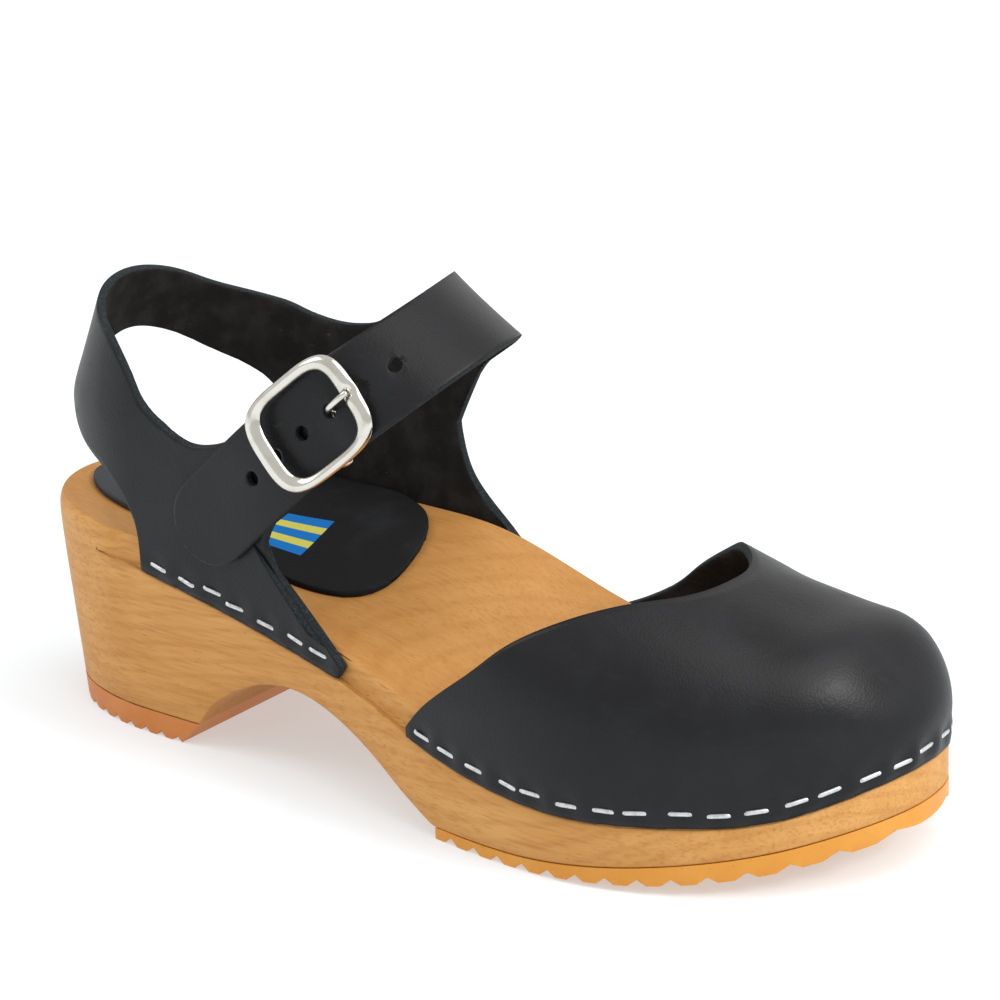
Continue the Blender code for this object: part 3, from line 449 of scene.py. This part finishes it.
@dataclass(frozen=True)
class StapleWire:
    """Bright galvanised wire, dulled a little where the hammer struck it."""

    bright: Colour = (0.66, 0.67, 0.68)
    dull: Colour = (0.42, 0.43, 0.44)

    def material(self) -> bpy.types.Material:
        """Builds the material."""
        graph = Graph("staple_wire")
        cloud = graph.noise(700.0, 3.0)
        return graph.shade({
            "Base Color": graph.blend(self.bright, self.dull, cloud.ramp(0.45, 0.8)),
            "Metallic": 0.75,
            "Roughness": 0.30 + cloud * 0.2,
            "Normal": graph.relief(cloud, 0.00006),
        })


@dataclass(frozen=True)
class SockLining:
    """Matt black sock lining with painted sheen that greys it towards the heel, and a small plain striped
    patch.
    """

    cover: Colour = (0.0060, 0.0062, 0.0070)
    sheen_and_mottle: Colour = (0.0700, 0.0740, 0.0820)
    blue: Colour = (0.004, 0.180, 0.560)
    yellow: Colour = (0.680, 0.620, 0.080)
    patch_middle: tuple[float, float] = (0.0425, -0.0010)
    patch_turn: float = math.radians(4)
    patch_half: tuple[float, float] = (0.0072, 0.0076)
    stripe_place: float = 0.0030
    stripe_half: float = 0.0013

    def material(self) -> bpy.types.Material:
        """Builds the material."""
        graph = Graph("sock_lining")
        x, y, _ = graph.axes()
        cloud = graph.noise(60.0, 4.0)
        pores = graph.cells(1500.0)
        # Painted sheen: the lining is greyed towards the heel end, with a random grey mottle laid over it.
        heel = x.ramp(0.030, -0.015)
        colour = graph.blend(self.cover, self.sheen_and_mottle, heel * 0.62 + cloud.ramp(0.5, 0.85) * 0.20)
        along, across = self._patch_axes(x, y)
        inside = self._within(along, self.patch_half[0]) * self._within(across, self.patch_half[1])
        stripes = self._within(across - self.stripe_place, self.stripe_half)
        stripes = stripes + self._within(across + self.stripe_place, self.stripe_half)
        print_wear = 0.90 + cloud * 0.10
        colour = graph.blend(colour, self.blue, inside * print_wear)
        colour = graph.blend(colour, self.yellow, inside * stripes * print_wear)
        return graph.shade({
            "Base Color": colour,
            "Roughness": 0.66 + cloud * 0.16,
            "Specular IOR Level": 0.22,
            "Normal": graph.relief(pores.ramp(0.1, 0.7) * 0.6 + cloud * 0.4, 0.00008),
        })

    def _patch_axes(self, x: Value, y: Value) -> tuple[Value, Value]:
        """The patch's own coordinates.

        Args:
            x: The object's X.
            y: The object's Y.

        Returns:
            The distance along the patch and across it, from its middle.
        """
        cosine = math.cos(self.patch_turn)
        sine = math.sin(self.patch_turn)
        over = x - self.patch_middle[0]
        beside = y - self.patch_middle[1]
        return over * cosine + beside * sine, beside * cosine - over * sine

    @staticmethod
    def _within(place: Value, half: float) -> Value:
        """1 where a place is within half of 0, and 0 outside."""
        soft = 0.0001
        return place.ramp(-half - soft, -half) * place.ramp(half + soft, half)


@dataclass
class Region:
    """A patch of faces of one piece, bounded by its sharp edges."""

    faces: list[int]
    area: float
    normal: Vector


def pick(piece: bpy.types.Object) -> None:
    """Leaves one piece selected and active, in object mode."""
    if bpy.context.mode != "OBJECT":
        bpy.ops.object.mode_set(mode="OBJECT")
    bpy.ops.object.select_all(action="DESELECT")
    piece.select_set(True)
    bpy.context.view_layer.objects.active = piece


def apply_modifier(piece: bpy.types.Object, kind: str, settings: dict[str, Any]) -> None:
    """Adds one modifier and applies it.

    Args:
        piece: The piece to change.
        kind: The modifier's type.
        settings: The modifier's settings.
    """
    pick(piece)
    modifier = piece.modifiers.new(kind.lower(), kind)
    for key, setting in settings.items():
        setattr(modifier, key, setting)
    bpy.ops.object.modifier_apply(modifier=modifier.name)


def copy_of_node(node: str, name: str) -> bpy.types.Object:
    """Copies a CAD node, merges its loose triangles and pairs them into quads.

    Args:
        node: The CAD node's name.
        name: The new piece's name.

    Returns:
        The new piece, with no materials.
    """
    piece = bpy.data.objects.new(name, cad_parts[node].data.copy())
    bpy.context.scene.collection.objects.link(piece)
    piece.data.materials.clear()
    pick(piece)
    bpy.ops.object.mode_set(mode="EDIT")
    bpy.ops.mesh.select_all(action="SELECT")
    bpy.ops.mesh.remove_doubles(threshold=MERGE_DISTANCE)
    bpy.ops.mesh.tris_convert_to_quads(face_threshold=QUAD_ANGLE, shape_threshold=QUAD_SHAPE)
    bpy.ops.mesh.select_all(action="DESELECT")
    bpy.ops.object.mode_set(mode="OBJECT")
    return piece


def regions_of(piece: bpy.types.Object) -> list[Region]:
    """Splits a piece at its sharp edges.

    Args:
        piece: The piece to read.

    Returns:
        Its regions, the largest first.
    """
    mesh = bmesh.new()
    mesh.from_mesh(piece.data)
    mesh.faces.ensure_lookup_table()
    left = set(range(len(mesh.faces)))
    found = []
    while left:
        first = min(left)
        left.discard(first)
        stack = [mesh.faces[first]]
        faces = []
        area = 0.0
        total = Vector((0, 0, 0))
        while stack:
            face = stack.pop()
            faces.append(face.index)
            area += face.calc_area()
            total += face.normal * face.calc_area()
            for edge in face.edges:
                if edge.calc_face_angle(math.pi) >= SHARP_ANGLE:
                    continue
                for other in edge.link_faces:
                    if other.index in left:
                        left.discard(other.index)
                        stack.append(other)
        found.append(Region(faces, area, total / max(area, TINY_AREA)))
    mesh.free()
    return sorted(found, key=lambda region: -region.area)


def crease_sharp(piece: bpy.types.Object, crease: float, angle: float = SHARP_ANGLE) -> None:
    """Creases the sharp edges, so that subdivision keeps them nearly square.

    Args:
        piece: The piece to change.
        crease: How tight the edges stay, from 0 to 1.
        angle: How far two faces turn from each other at a sharp edge.
    """
    pick(piece)
    bpy.ops.object.mode_set(mode="EDIT")
    bpy.ops.mesh.select_mode(type="EDGE")
    bpy.ops.mesh.select_all(action="DESELECT")
    bpy.ops.mesh.edges_select_sharp(sharpness=angle)
    bpy.ops.transform.edge_crease(value=crease)
    bpy.ops.mesh.select_all(action="DESELECT")
    bpy.ops.object.mode_set(mode="OBJECT")


def subdivide(piece: bpy.types.Object, levels: int) -> None:
    """Rounds a piece by subdivision and shades it smooth.

    Args:
        piece: The piece to change.
        levels: How many times each face is divided.
    """
    apply_modifier(piece, "SUBSURF", {"levels": levels, "render_levels": levels})
    pick(piece)
    bpy.ops.object.shade_smooth()


def ease_edges(piece: bpy.types.Object, width: float, angle: float) -> None:
    """Rounds the sharp edges of a piece off a little.

    Args:
        piece: The piece to change.
        width: How far back from the edge the rounding starts.
        angle: How far two faces turn from each other at a sharp edge.
    """
    settings = {"limit_method": "ANGLE", "angle_limit": angle, "width": width, "segments": 2}
    apply_modifier(piece, "BEVEL", {**settings, "use_clamp_overlap": False})
    pick(piece)
    bpy.ops.object.shade_smooth_by_angle(angle=angle)


def raise_top(piece: bpy.types.Object, height: float) -> None:
    """Lifts the upper face of a tread against the wood that it is glued to.

    Args:
        piece: The tread.
        height: How far its upper face rises.
    """
    pick(piece)
    bpy.ops.object.mode_set(mode="EDIT")
    bpy.ops.mesh.select_mode(type="FACE")
    bpy.ops.mesh.select_all(action="DESELECT")
    mesh = bmesh.from_edit_mesh(piece.data)
    for face in mesh.faces:
        face.select_set(face.normal.z > UPWARD)
    bmesh.update_edit_mesh(piece.data)
    bpy.ops.transform.translate(value=(0, 0, height))
    bpy.ops.mesh.select_all(action="DESELECT")
    bpy.ops.object.mode_set(mode="OBJECT")


def place_on_shoe(piece: bpy.types.Object, node: Optional[str] = None) -> bpy.types.Object:
    """Makes a finished piece part of the shoe.

    Args:
        piece: The finished piece.
        node: The CAD node that it stands for, if it stands for one.

    Returns:
        The piece.
    """
    if node is not None:
        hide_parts(node)
    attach(piece, BODY)
    LOG.info("%s: %d faces", piece.name, len(piece.data.polygons))
    return piece


class Leather:
    """The three finishes of one hide, made once and shared by every piece cut from it."""

    def __init__(self) -> None:
        """Builds the three materials."""
        self.materials = {
            Side.GRAIN: GrainLeather().material(),
            Side.FLESH: FleshLeather().material(),
            Side.CUT: CutEdge().material(),
        }

    def dress(self, piece: bpy.types.Object, regions: list[Region]) -> None:
        """Gives each region of a cut piece its finish.

        Args:
            piece: The piece of leather.
            regions: Its regions, of which the largest is the grain side and the next the flesh side.
        """
        for side in Side:
            piece.data.materials.append(self.materials[side])
        for number, region in enumerate(regions):
            side = Side(min(number, Side.CUT.value))
            for face in region.faces:
                piece.data.polygons[face].material_index = side.value


def seam(piece: bpy.types.Object, first: Region, second: Region) -> list[Vector]:
    """The line along which two regions of a piece meet.

    Args:
        piece: The piece that both belong to.
        first: One region.
        second: The other region.

    Returns:
        The line's points in order, from the end that lies nearer the buckle side.
    """
    mesh = bmesh.new()
    mesh.from_mesh(piece.data)
    groups = set(first.faces), set(second.faces)
    links: dict[int, list[int]] = {}
    for edge in mesh.edges:
        sides = [face.index for face in edge.link_faces]
        if len(sides) != 2:
            continue
        if any(sides[0] in one and sides[1] in two for one, two in (groups, groups[::-1])):
            a, b = (vertex.index for vertex in edge.verts)
            links.setdefault(a, []).append(b)
            links.setdefault(b, []).append(a)
    places = [vertex.co.copy() for vertex in mesh.verts]
    mesh.free()
    ends = [index for index, near in links.items() if len(near) == 1]
    line = [min(ends, key=lambda index: (places[index].y, places[index].x))]
    while True:
        ahead = [index for index in links[line[-1]] if index not in line]
        if not ahead:
            break
        line.append(ahead[0])
    return [places[index] for index in line]


def walk(line: list[Vector], distance: float) -> tuple[Vector, Vector]:
    """A place on a line of points.

    Args:
        line: The points.
        distance: How far along the line the place is.

    Returns:
        The place, and the line's direction there.
    """
    for start, end in zip(line, line[1:]):
        step = end - start
        if distance <= step.length:
            return start + step.normalized() * distance, step.normalized()
        distance -= step.length
    return line[-1], (line[-1] - line[-2]).normalized()


def length_of(line: list[Vector]) -> float:
    """The length of a line of points."""
    return sum((end - start).length for start, end in zip(line, line[1:]))


@dataclass
class Staples:
    """The wire staples that hold the lower edge of the leather to the wood.

    legs gives each step of a turned-down leg as out and down, in shares of the wire. sunk is the
    height of the wire's middle over the leather, dent_reach and puff_reach are how far a dent and
    a swelling spread along the edge, in shares of the crown and of the pitch, and across is how
    far both spread up and down, in shares of the lift.
    """

    finish: bpy.types.Material
    crown: float = 0.0042
    wire: float = 0.00115
    flattened: float = 0.72
    pitch: float = 0.0090
    lift: float = 0.0034
    end_gap: float = 0.0058
    uneven: float = 0.0006
    press: float = 0.00060
    puff: float = 0.00052
    sides: int = 8
    bend: float = math.radians(42)
    smooth: float = math.radians(60)
    legs: tuple[tuple[float, float], ...] = ((0.42, 0.14), (0.16, 0.50))
    sunk: float = 0.16
    dent_reach: float = 0.75
    puff_reach: float = 0.24
    across: float = 0.75
    sway: float = 2.4
    sway_start: float = 1.0

    def pattern(self) -> bpy.types.Object:
        """Models one staple: a crown hammered a little flat, with its two legs turned down.

        Returns:
            The staple, lying along X at the origin with its crown up.
        """
        bpy.ops.object.select_all(action="DESELECT")
        bpy.ops.mesh.primitive_cylinder_add(
            vertices=self.sides, radius=self.wire / 2, depth=self.crown, rotation=(0, math.pi / 2, 0))
        staple = bpy.context.object
        bpy.ops.object.transform_apply(location=False, rotation=True, scale=False)
        bpy.ops.object.mode_set(mode="EDIT")
        bpy.ops.mesh.select_mode(type="FACE")
        for end in (1, -1):
            for out, down in self.legs:
                middle = self._select_end(staple, end)
                move = (end * out * self.wire, 0, -down * self.wire)
                bpy.ops.mesh.extrude_region_move(TRANSFORM_OT_translate={"value": move})
                turned = middle + Vector(move)
                turn = -end * self.bend
                bpy.ops.transform.rotate(value=turn, orient_axis="Y", center_override=turned)
        bpy.ops.mesh.select_all(action="SELECT")
        bpy.ops.transform.resize(value=(1, 1, self.flattened), center_override=(0, 0, 0))
        bpy.ops.mesh.normals_make_consistent(inside=False)
        bpy.ops.object.mode_set(mode="OBJECT")
        bpy.ops.object.shade_smooth_by_angle(angle=self.smooth)
        staple.data.materials.append(self.finish)
        return staple

    def _select_end(self, staple: bpy.types.Object, end: int) -> Vector:
        """Selects the cap at one end of the staple.

        Args:
            staple: The staple, in edit mode.
            end: 1 for the end towards +X, and -1 for the other.

        Returns:
            The cap's middle.
        """
        bpy.ops.mesh.select_all(action="DESELECT")
        mesh = bmesh.from_edit_mesh(staple.data)
        caps = [face for face in mesh.faces if len(face.verts) == self.sides]
        cap = max(caps, key=lambda face: end * face.calc_center_median().x)
        cap.select_set(True)
        mesh.select_flush(True)
        bmesh.update_edit_mesh(staple.data)
        return cap.calc_center_median()

    def stations(self, line: list[Vector]) -> list[float]:
        """Where the staples stand along the leather's edge, set by hand and so a little unevenly.

        Args:
            line: The leather's lower edge.

        Returns:
            The distance of each staple along it.
        """
        room = length_of(line) - 2 * self.end_gap
        gaps = round(room / self.pitch)
        even = [self.end_gap + room * i / gaps for i in range(gaps + 1)]
        sways = [math.sin(self.sway * i + self.sway_start) for i in range(gaps + 1)]
        return [place + self.uneven * sway for place, sway in zip(even, sways)]

    def frames(self, piece: bpy.types.Object, line: list[Vector]) -> list[Matrix]:
        """Finds where each staple of one row lies on the leather.

        Args:
            piece: The piece of leather.
            line: Its lower edge.

        Returns:
            The place of each staple: X along the edge and Z out of the leather.
        """
        tree = BVHTree.FromObject(piece, bpy.context.evaluated_depsgraph_get())
        # A point on the shoe's middle plane, from which each side's leather faces away.
        inside = sum(line, Vector((0, 0, 0))) / len(line)
        inside.y = 0
        found = []
        for distance in self.stations(line):
            foot, along = walk(line, distance)
            outward = along.cross(Vector((0, 0, 1))).normalized()
            if outward.dot(foot - inside) < 0:
                outward.negate()
            near = foot + Vector((0, 0, self.lift)) + outward * self.lift
            place, normal, _, _ = tree.find_nearest(near)
            along = (along - normal * along.dot(normal)).normalized()
            turn = Matrix((along, normal.cross(along), normal)).transposed()
            found.append(Matrix.Translation(place + normal * self.wire * self.sunk) @ turn.to_4x4())
        return found

    def press_leather(self, piece: bpy.types.Object, frames: list[Matrix]) -> None:
        """Presses the leather in under each staple and lets it swell between them.

        Args:
            piece: The piece of leather.
            frames: The places of one row of staples.
        """
        dent = self.crown * self.dent_reach
        swell = self.pitch * self.puff_reach
        height_of_mark = self.lift * self.across
        marks = [(place.inverted(), place.col[2].to_3d(), -self.press, dent) for place in frames]
        for one, two in zip(frames, frames[1:]):
            between = one.copy()
            between.translation = (one.translation + two.translation) / 2
            marks.append((between.inverted(), one.col[2].to_3d(), self.puff, swell))
        for vertex in piece.data.vertices:
            shift = Vector((0, 0, 0))
            for inverse, outward, height, width in marks:
                local = inverse @ vertex.co
                if max(abs(number) for number in local) > self.pitch:
                    continue
                share = math.exp(-(local.x / width) ** 2 - (local.y / height_of_mark) ** 2)
                shift += outward * height * share
            vertex.co += shift

    def nail(self, piece: bpy.types.Object, lines: list[list[Vector]], name: str) -> None:
        """Drives the rows of staples of one piece of leather.

        Args:
            piece: The piece of leather.
            lines: Its lower edges.
            name: The name of the staples' pieces.
        """
        for line in lines:
            self.press_leather(piece, self.frames(piece, line))
        pattern = self.pattern()
        number = 0
        for line in lines:
            for place in self.frames(piece, line):
                number += 1
                staple = bpy.data.objects.new(f"{name}_{number:02d}", pattern.data.copy())
                bpy.context.scene.collection.objects.link(staple)
                staple.data.transform(place)
                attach(staple, BODY)
        bpy.data.objects.remove(pattern)
        LOG.info("%s: %d staples", name, number)


@dataclass
class Upper:
    """The two pieces of leather: the closed vamp, and the back piece with its sling and strap.

    A face of the cut edge sits on the wood where its normal's Z is under edge_down and its area
    is over edge_least.
    """

    leather: Leather
    staples: Staples
    crease: float = 0.72
    levels: int = 2
    edge_down: float = -0.9
    edge_least: float = 0.00005

    def build(self) -> None:
        """Builds both pieces and nails them on."""
        self._piece("vamp", "toe_vamp", "toe_staple")
        self._piece("back_piece", "back_leather", "quarter_staple")

    def _piece(self, node: str, name: str, staple_name: str) -> None:
        """Builds one piece of leather.

        Args:
            node: The CAD node that it stands for.
            name: The new piece's name.
            staple_name: The name of its staples.
        """
        piece = copy_of_node(node, name)
        regions = regions_of(piece)
        self.leather.dress(piece, regions)
        edges = [region for region in regions[2:] if self._is_lower_edge(region)]
        lines = [seam(piece, regions[0], region) for region in edges]
        crease_sharp(piece, self.crease)
        subdivide(piece, self.levels)
        self.staples.nail(piece, lines, staple_name)
        place_on_shoe(piece, node)

    def _is_lower_edge(self, region: Region) -> bool:
        """Whether a region is a lower edge that sits on the wood."""
        return region.normal.z < self.edge_down and region.area > self.edge_least


@dataclass
class Solid:
    """A solid of the shoe that keeps its CAD shape, with its edges eased.

    seat is how far a glued piece's upper face rises to meet the wood above it.
    """

    node: str
    name: str
    slot: str
    finish: bpy.types.Material
    crease: float
    levels: int
    ease: float = 0.0
    sharp: float = SHARP_ANGLE
    seat: float = 0.0

    def build(self) -> bpy.types.Object:
        """Builds the piece.

        Returns:
            The finished piece.
        """
        piece = copy_of_node(self.node, self.name)
        piece.data.materials.append(self.finish)
        if self.seat:
            raise_top(piece, self.seat)
        crease_sharp(piece, self.crease, self.sharp)
        subdivide(piece, self.levels)
        if self.ease:
            ease_edges(piece, self.ease, self.sharp)
        return place_on_shoe(piece, self.node)


@dataclass
class Sole:
    """The wooden sole with its two rubber treads and the sock lining under the heel."""

    wood: AlderWood = AlderWood()
    heel: Rubber = Rubber("heel_rubber", (0.550, 0.180, 0.036), (0.630, 0.255, 0.070))
    forefoot: Rubber = Rubber("forefoot_rubber", (0.640, 0.265, 0.034), (0.700, 0.335, 0.060), 0.34)
    lining: SockLining = SockLining()
    rim: float = 0.0005
    tooth_edge: float = 0.00015
    tooth_sharp: float = math.radians(22)
    glue_line: float = 0.00022

    def build(self) -> None:
        """Builds the four pieces."""
        Solid("wood_base", "wooden_sole", "alder_wood", self.wood.material(),
              crease=1.0, levels=2, ease=self.rim).build()
        tread = {"ease": self.tooth_edge, "sharp": self.tooth_sharp, "seat": self.glue_line}
        for node, name, rubber in (("heel_outsole", "heel_tread", self.heel),
                                   ("forefoot_outsole", "forefoot_tread", self.forefoot)):
            Solid(node, name, rubber.name, rubber.material(), crease=1.0, levels=1, **tread).build()
        Solid("heel_pad", "heel_sock", "sock_lining", self.lining.material(),
              crease=0.55, levels=1).build()


@dataclass
class Buckle:
    """The nickel buckle: its frame with the centre bar, and the prong."""

    nickel: PolishedNickel = PolishedNickel()

    def build(self) -> None:
        """Builds the two pieces."""
        finish = self.nickel.material()
        Solid("buckle_frame", "buckle_ring", "buckle_metal", finish, crease=0.35, levels=2).build()
        Solid("buckle_prong", "buckle_pin", "buckle_metal", finish, crease=0.10, levels=2).build()


@dataclass
class Lamp:
    """One soft lamp of the studio."""

    name: str
    place: Place
    aim: Place
    size: float
    power: float

    def build(self) -> None:
        """Hangs the lamp and turns it to its aim."""
        data = bpy.data.lights.new(self.name, "AREA")
        data.shape = "SQUARE"
        data.size = self.size
        data.energy = self.power
        lamp = bpy.data.objects.new(self.name, data)
        bpy.context.scene.collection.objects.link(lamp)
        lamp.location = self.place
        ahead = Vector(self.aim) - Vector(self.place)
        lamp.rotation_euler = ahead.to_track_quat("-Z", "Y").to_euler()


@dataclass
class Studio:
    """The pale floor, the soft light and the camera.

    The sky lights the shoe with strength sky and is itself seen with strength sky_seen.
    """

    floor_half: float = 6.0
    floor_colour: Colour = (0.50, 0.53, 0.55)
    floor_glow: float = 0.44
    sky: float = 0.72
    sky_seen: float = 1.0
    sun: float = 1.5
    sun_spread: float = math.radians(60)
    sun_above: Place = (0.51, 0.04, 0.86)
    shoe_middle: Place = (0.10, 0.0, 0.05)
    camera_place: Place = (0.6131, -0.6677, 0.3583)
    camera_right: Place = (0.7998, 0.5994, -0.0330)
    camera_up: Place = (-0.1700, 0.2789, 0.9451)
    lens: float = 131.97
    shift: float = 0.022

    def build(self) -> None:
        """Builds the studio."""
        self._floor()
        self._sky()
        self._camera()
        self._sun()
        aim = self.shoe_middle
        Lamp("toe_lamp", place=(1.22, 0.08, 0.78), aim=aim, size=0.34, power=7.0).build()
        Lamp("back_lamp", place=(-0.10, 1.30, 0.62), aim=aim, size=0.80, power=0.9).build()
        Lamp("heel_lamp", place=(-0.75, -0.45, 0.85), aim=aim, size=0.60, power=3.0).build()
        bpy.context.scene.view_settings.view_transform = "Standard"
        bpy.context.scene.view_settings.look = "None"

    def _floor(self) -> None:
        """Lays the floor."""
        bpy.ops.object.select_all(action="DESELECT")
        bpy.ops.mesh.primitive_plane_add(size=2 * self.floor_half)
        floor = bpy.context.object
        floor.name = "studio_floor"
        graph = Graph("studio_paper")
        floor.data.materials.append(graph.shade({
            "Base Color": (*self.floor_colour, 1.0),
            "Roughness": 0.9,
            "Specular IOR Level": 0.1,
            "Emission Color": (1.0, 1.0, 1.0, 1.0),
            "Emission Strength": self.floor_glow,
        }))

    def _sky(self) -> None:
        """Lights the room evenly."""
        world = bpy.data.worlds.new("studio_sky")
        world.use_nodes = True
        tree = world.node_tree
        background = tree.nodes["Background"]
        background.inputs["Color"].default_value = (1.0, 1.0, 1.0, 1.0)
        path = tree.nodes.new("ShaderNodeLightPath")
        strength = tree.nodes.new("ShaderNodeMapRange")
        strength.inputs["To Min"].default_value = self.sky
        strength.inputs["To Max"].default_value = self.sky_seen
        tree.links.new(path.outputs["Is Camera Ray"], strength.inputs["Value"])
        tree.links.new(strength.outputs["Result"], background.inputs["Strength"])
        bpy.context.scene.world = world

    def _sun(self) -> None:
        """Hangs one very broad lamp, which lights the whole floor evenly."""
        data = bpy.data.lights.new("ceiling_lamp", "SUN")
        data.energy = self.sun
        data.angle = self.sun_spread
        lamp = bpy.data.objects.new("ceiling_lamp", data)
        bpy.context.scene.collection.objects.link(lamp)
        lamp.rotation_euler = (-Vector(self.sun_above)).to_track_quat("-Z", "Y").to_euler()

    def _camera(self) -> None:
        """Stands the camera where the photograph was taken from."""
        right = Vector(self.camera_right).normalized()
        back = right.cross(Vector(self.camera_up)).normalized()
        data = bpy.data.cameras.new("studio_camera")
        data.lens = self.lens
        data.shift_x = self.shift
        data.clip_start = 0.01
        camera = bpy.data.objects.new("studio_camera", data)
        bpy.context.scene.collection.objects.link(camera)
        turn = Matrix((right, back.cross(right), back)).transposed().to_4x4()
        camera.matrix_world = Matrix.Translation(self.camera_place) @ turn
        bpy.context.scene.camera = camera


def main() -> None:
    """Builds the shoe and the studio."""
    logging.basicConfig(level=logging.INFO, format="%(message)s")
    Sole().build()
    Upper(Leather(), Staples(StapleWire().material())).build()
    Buckle().build()
    Studio().build()


if __name__ == "__main__":
    main()
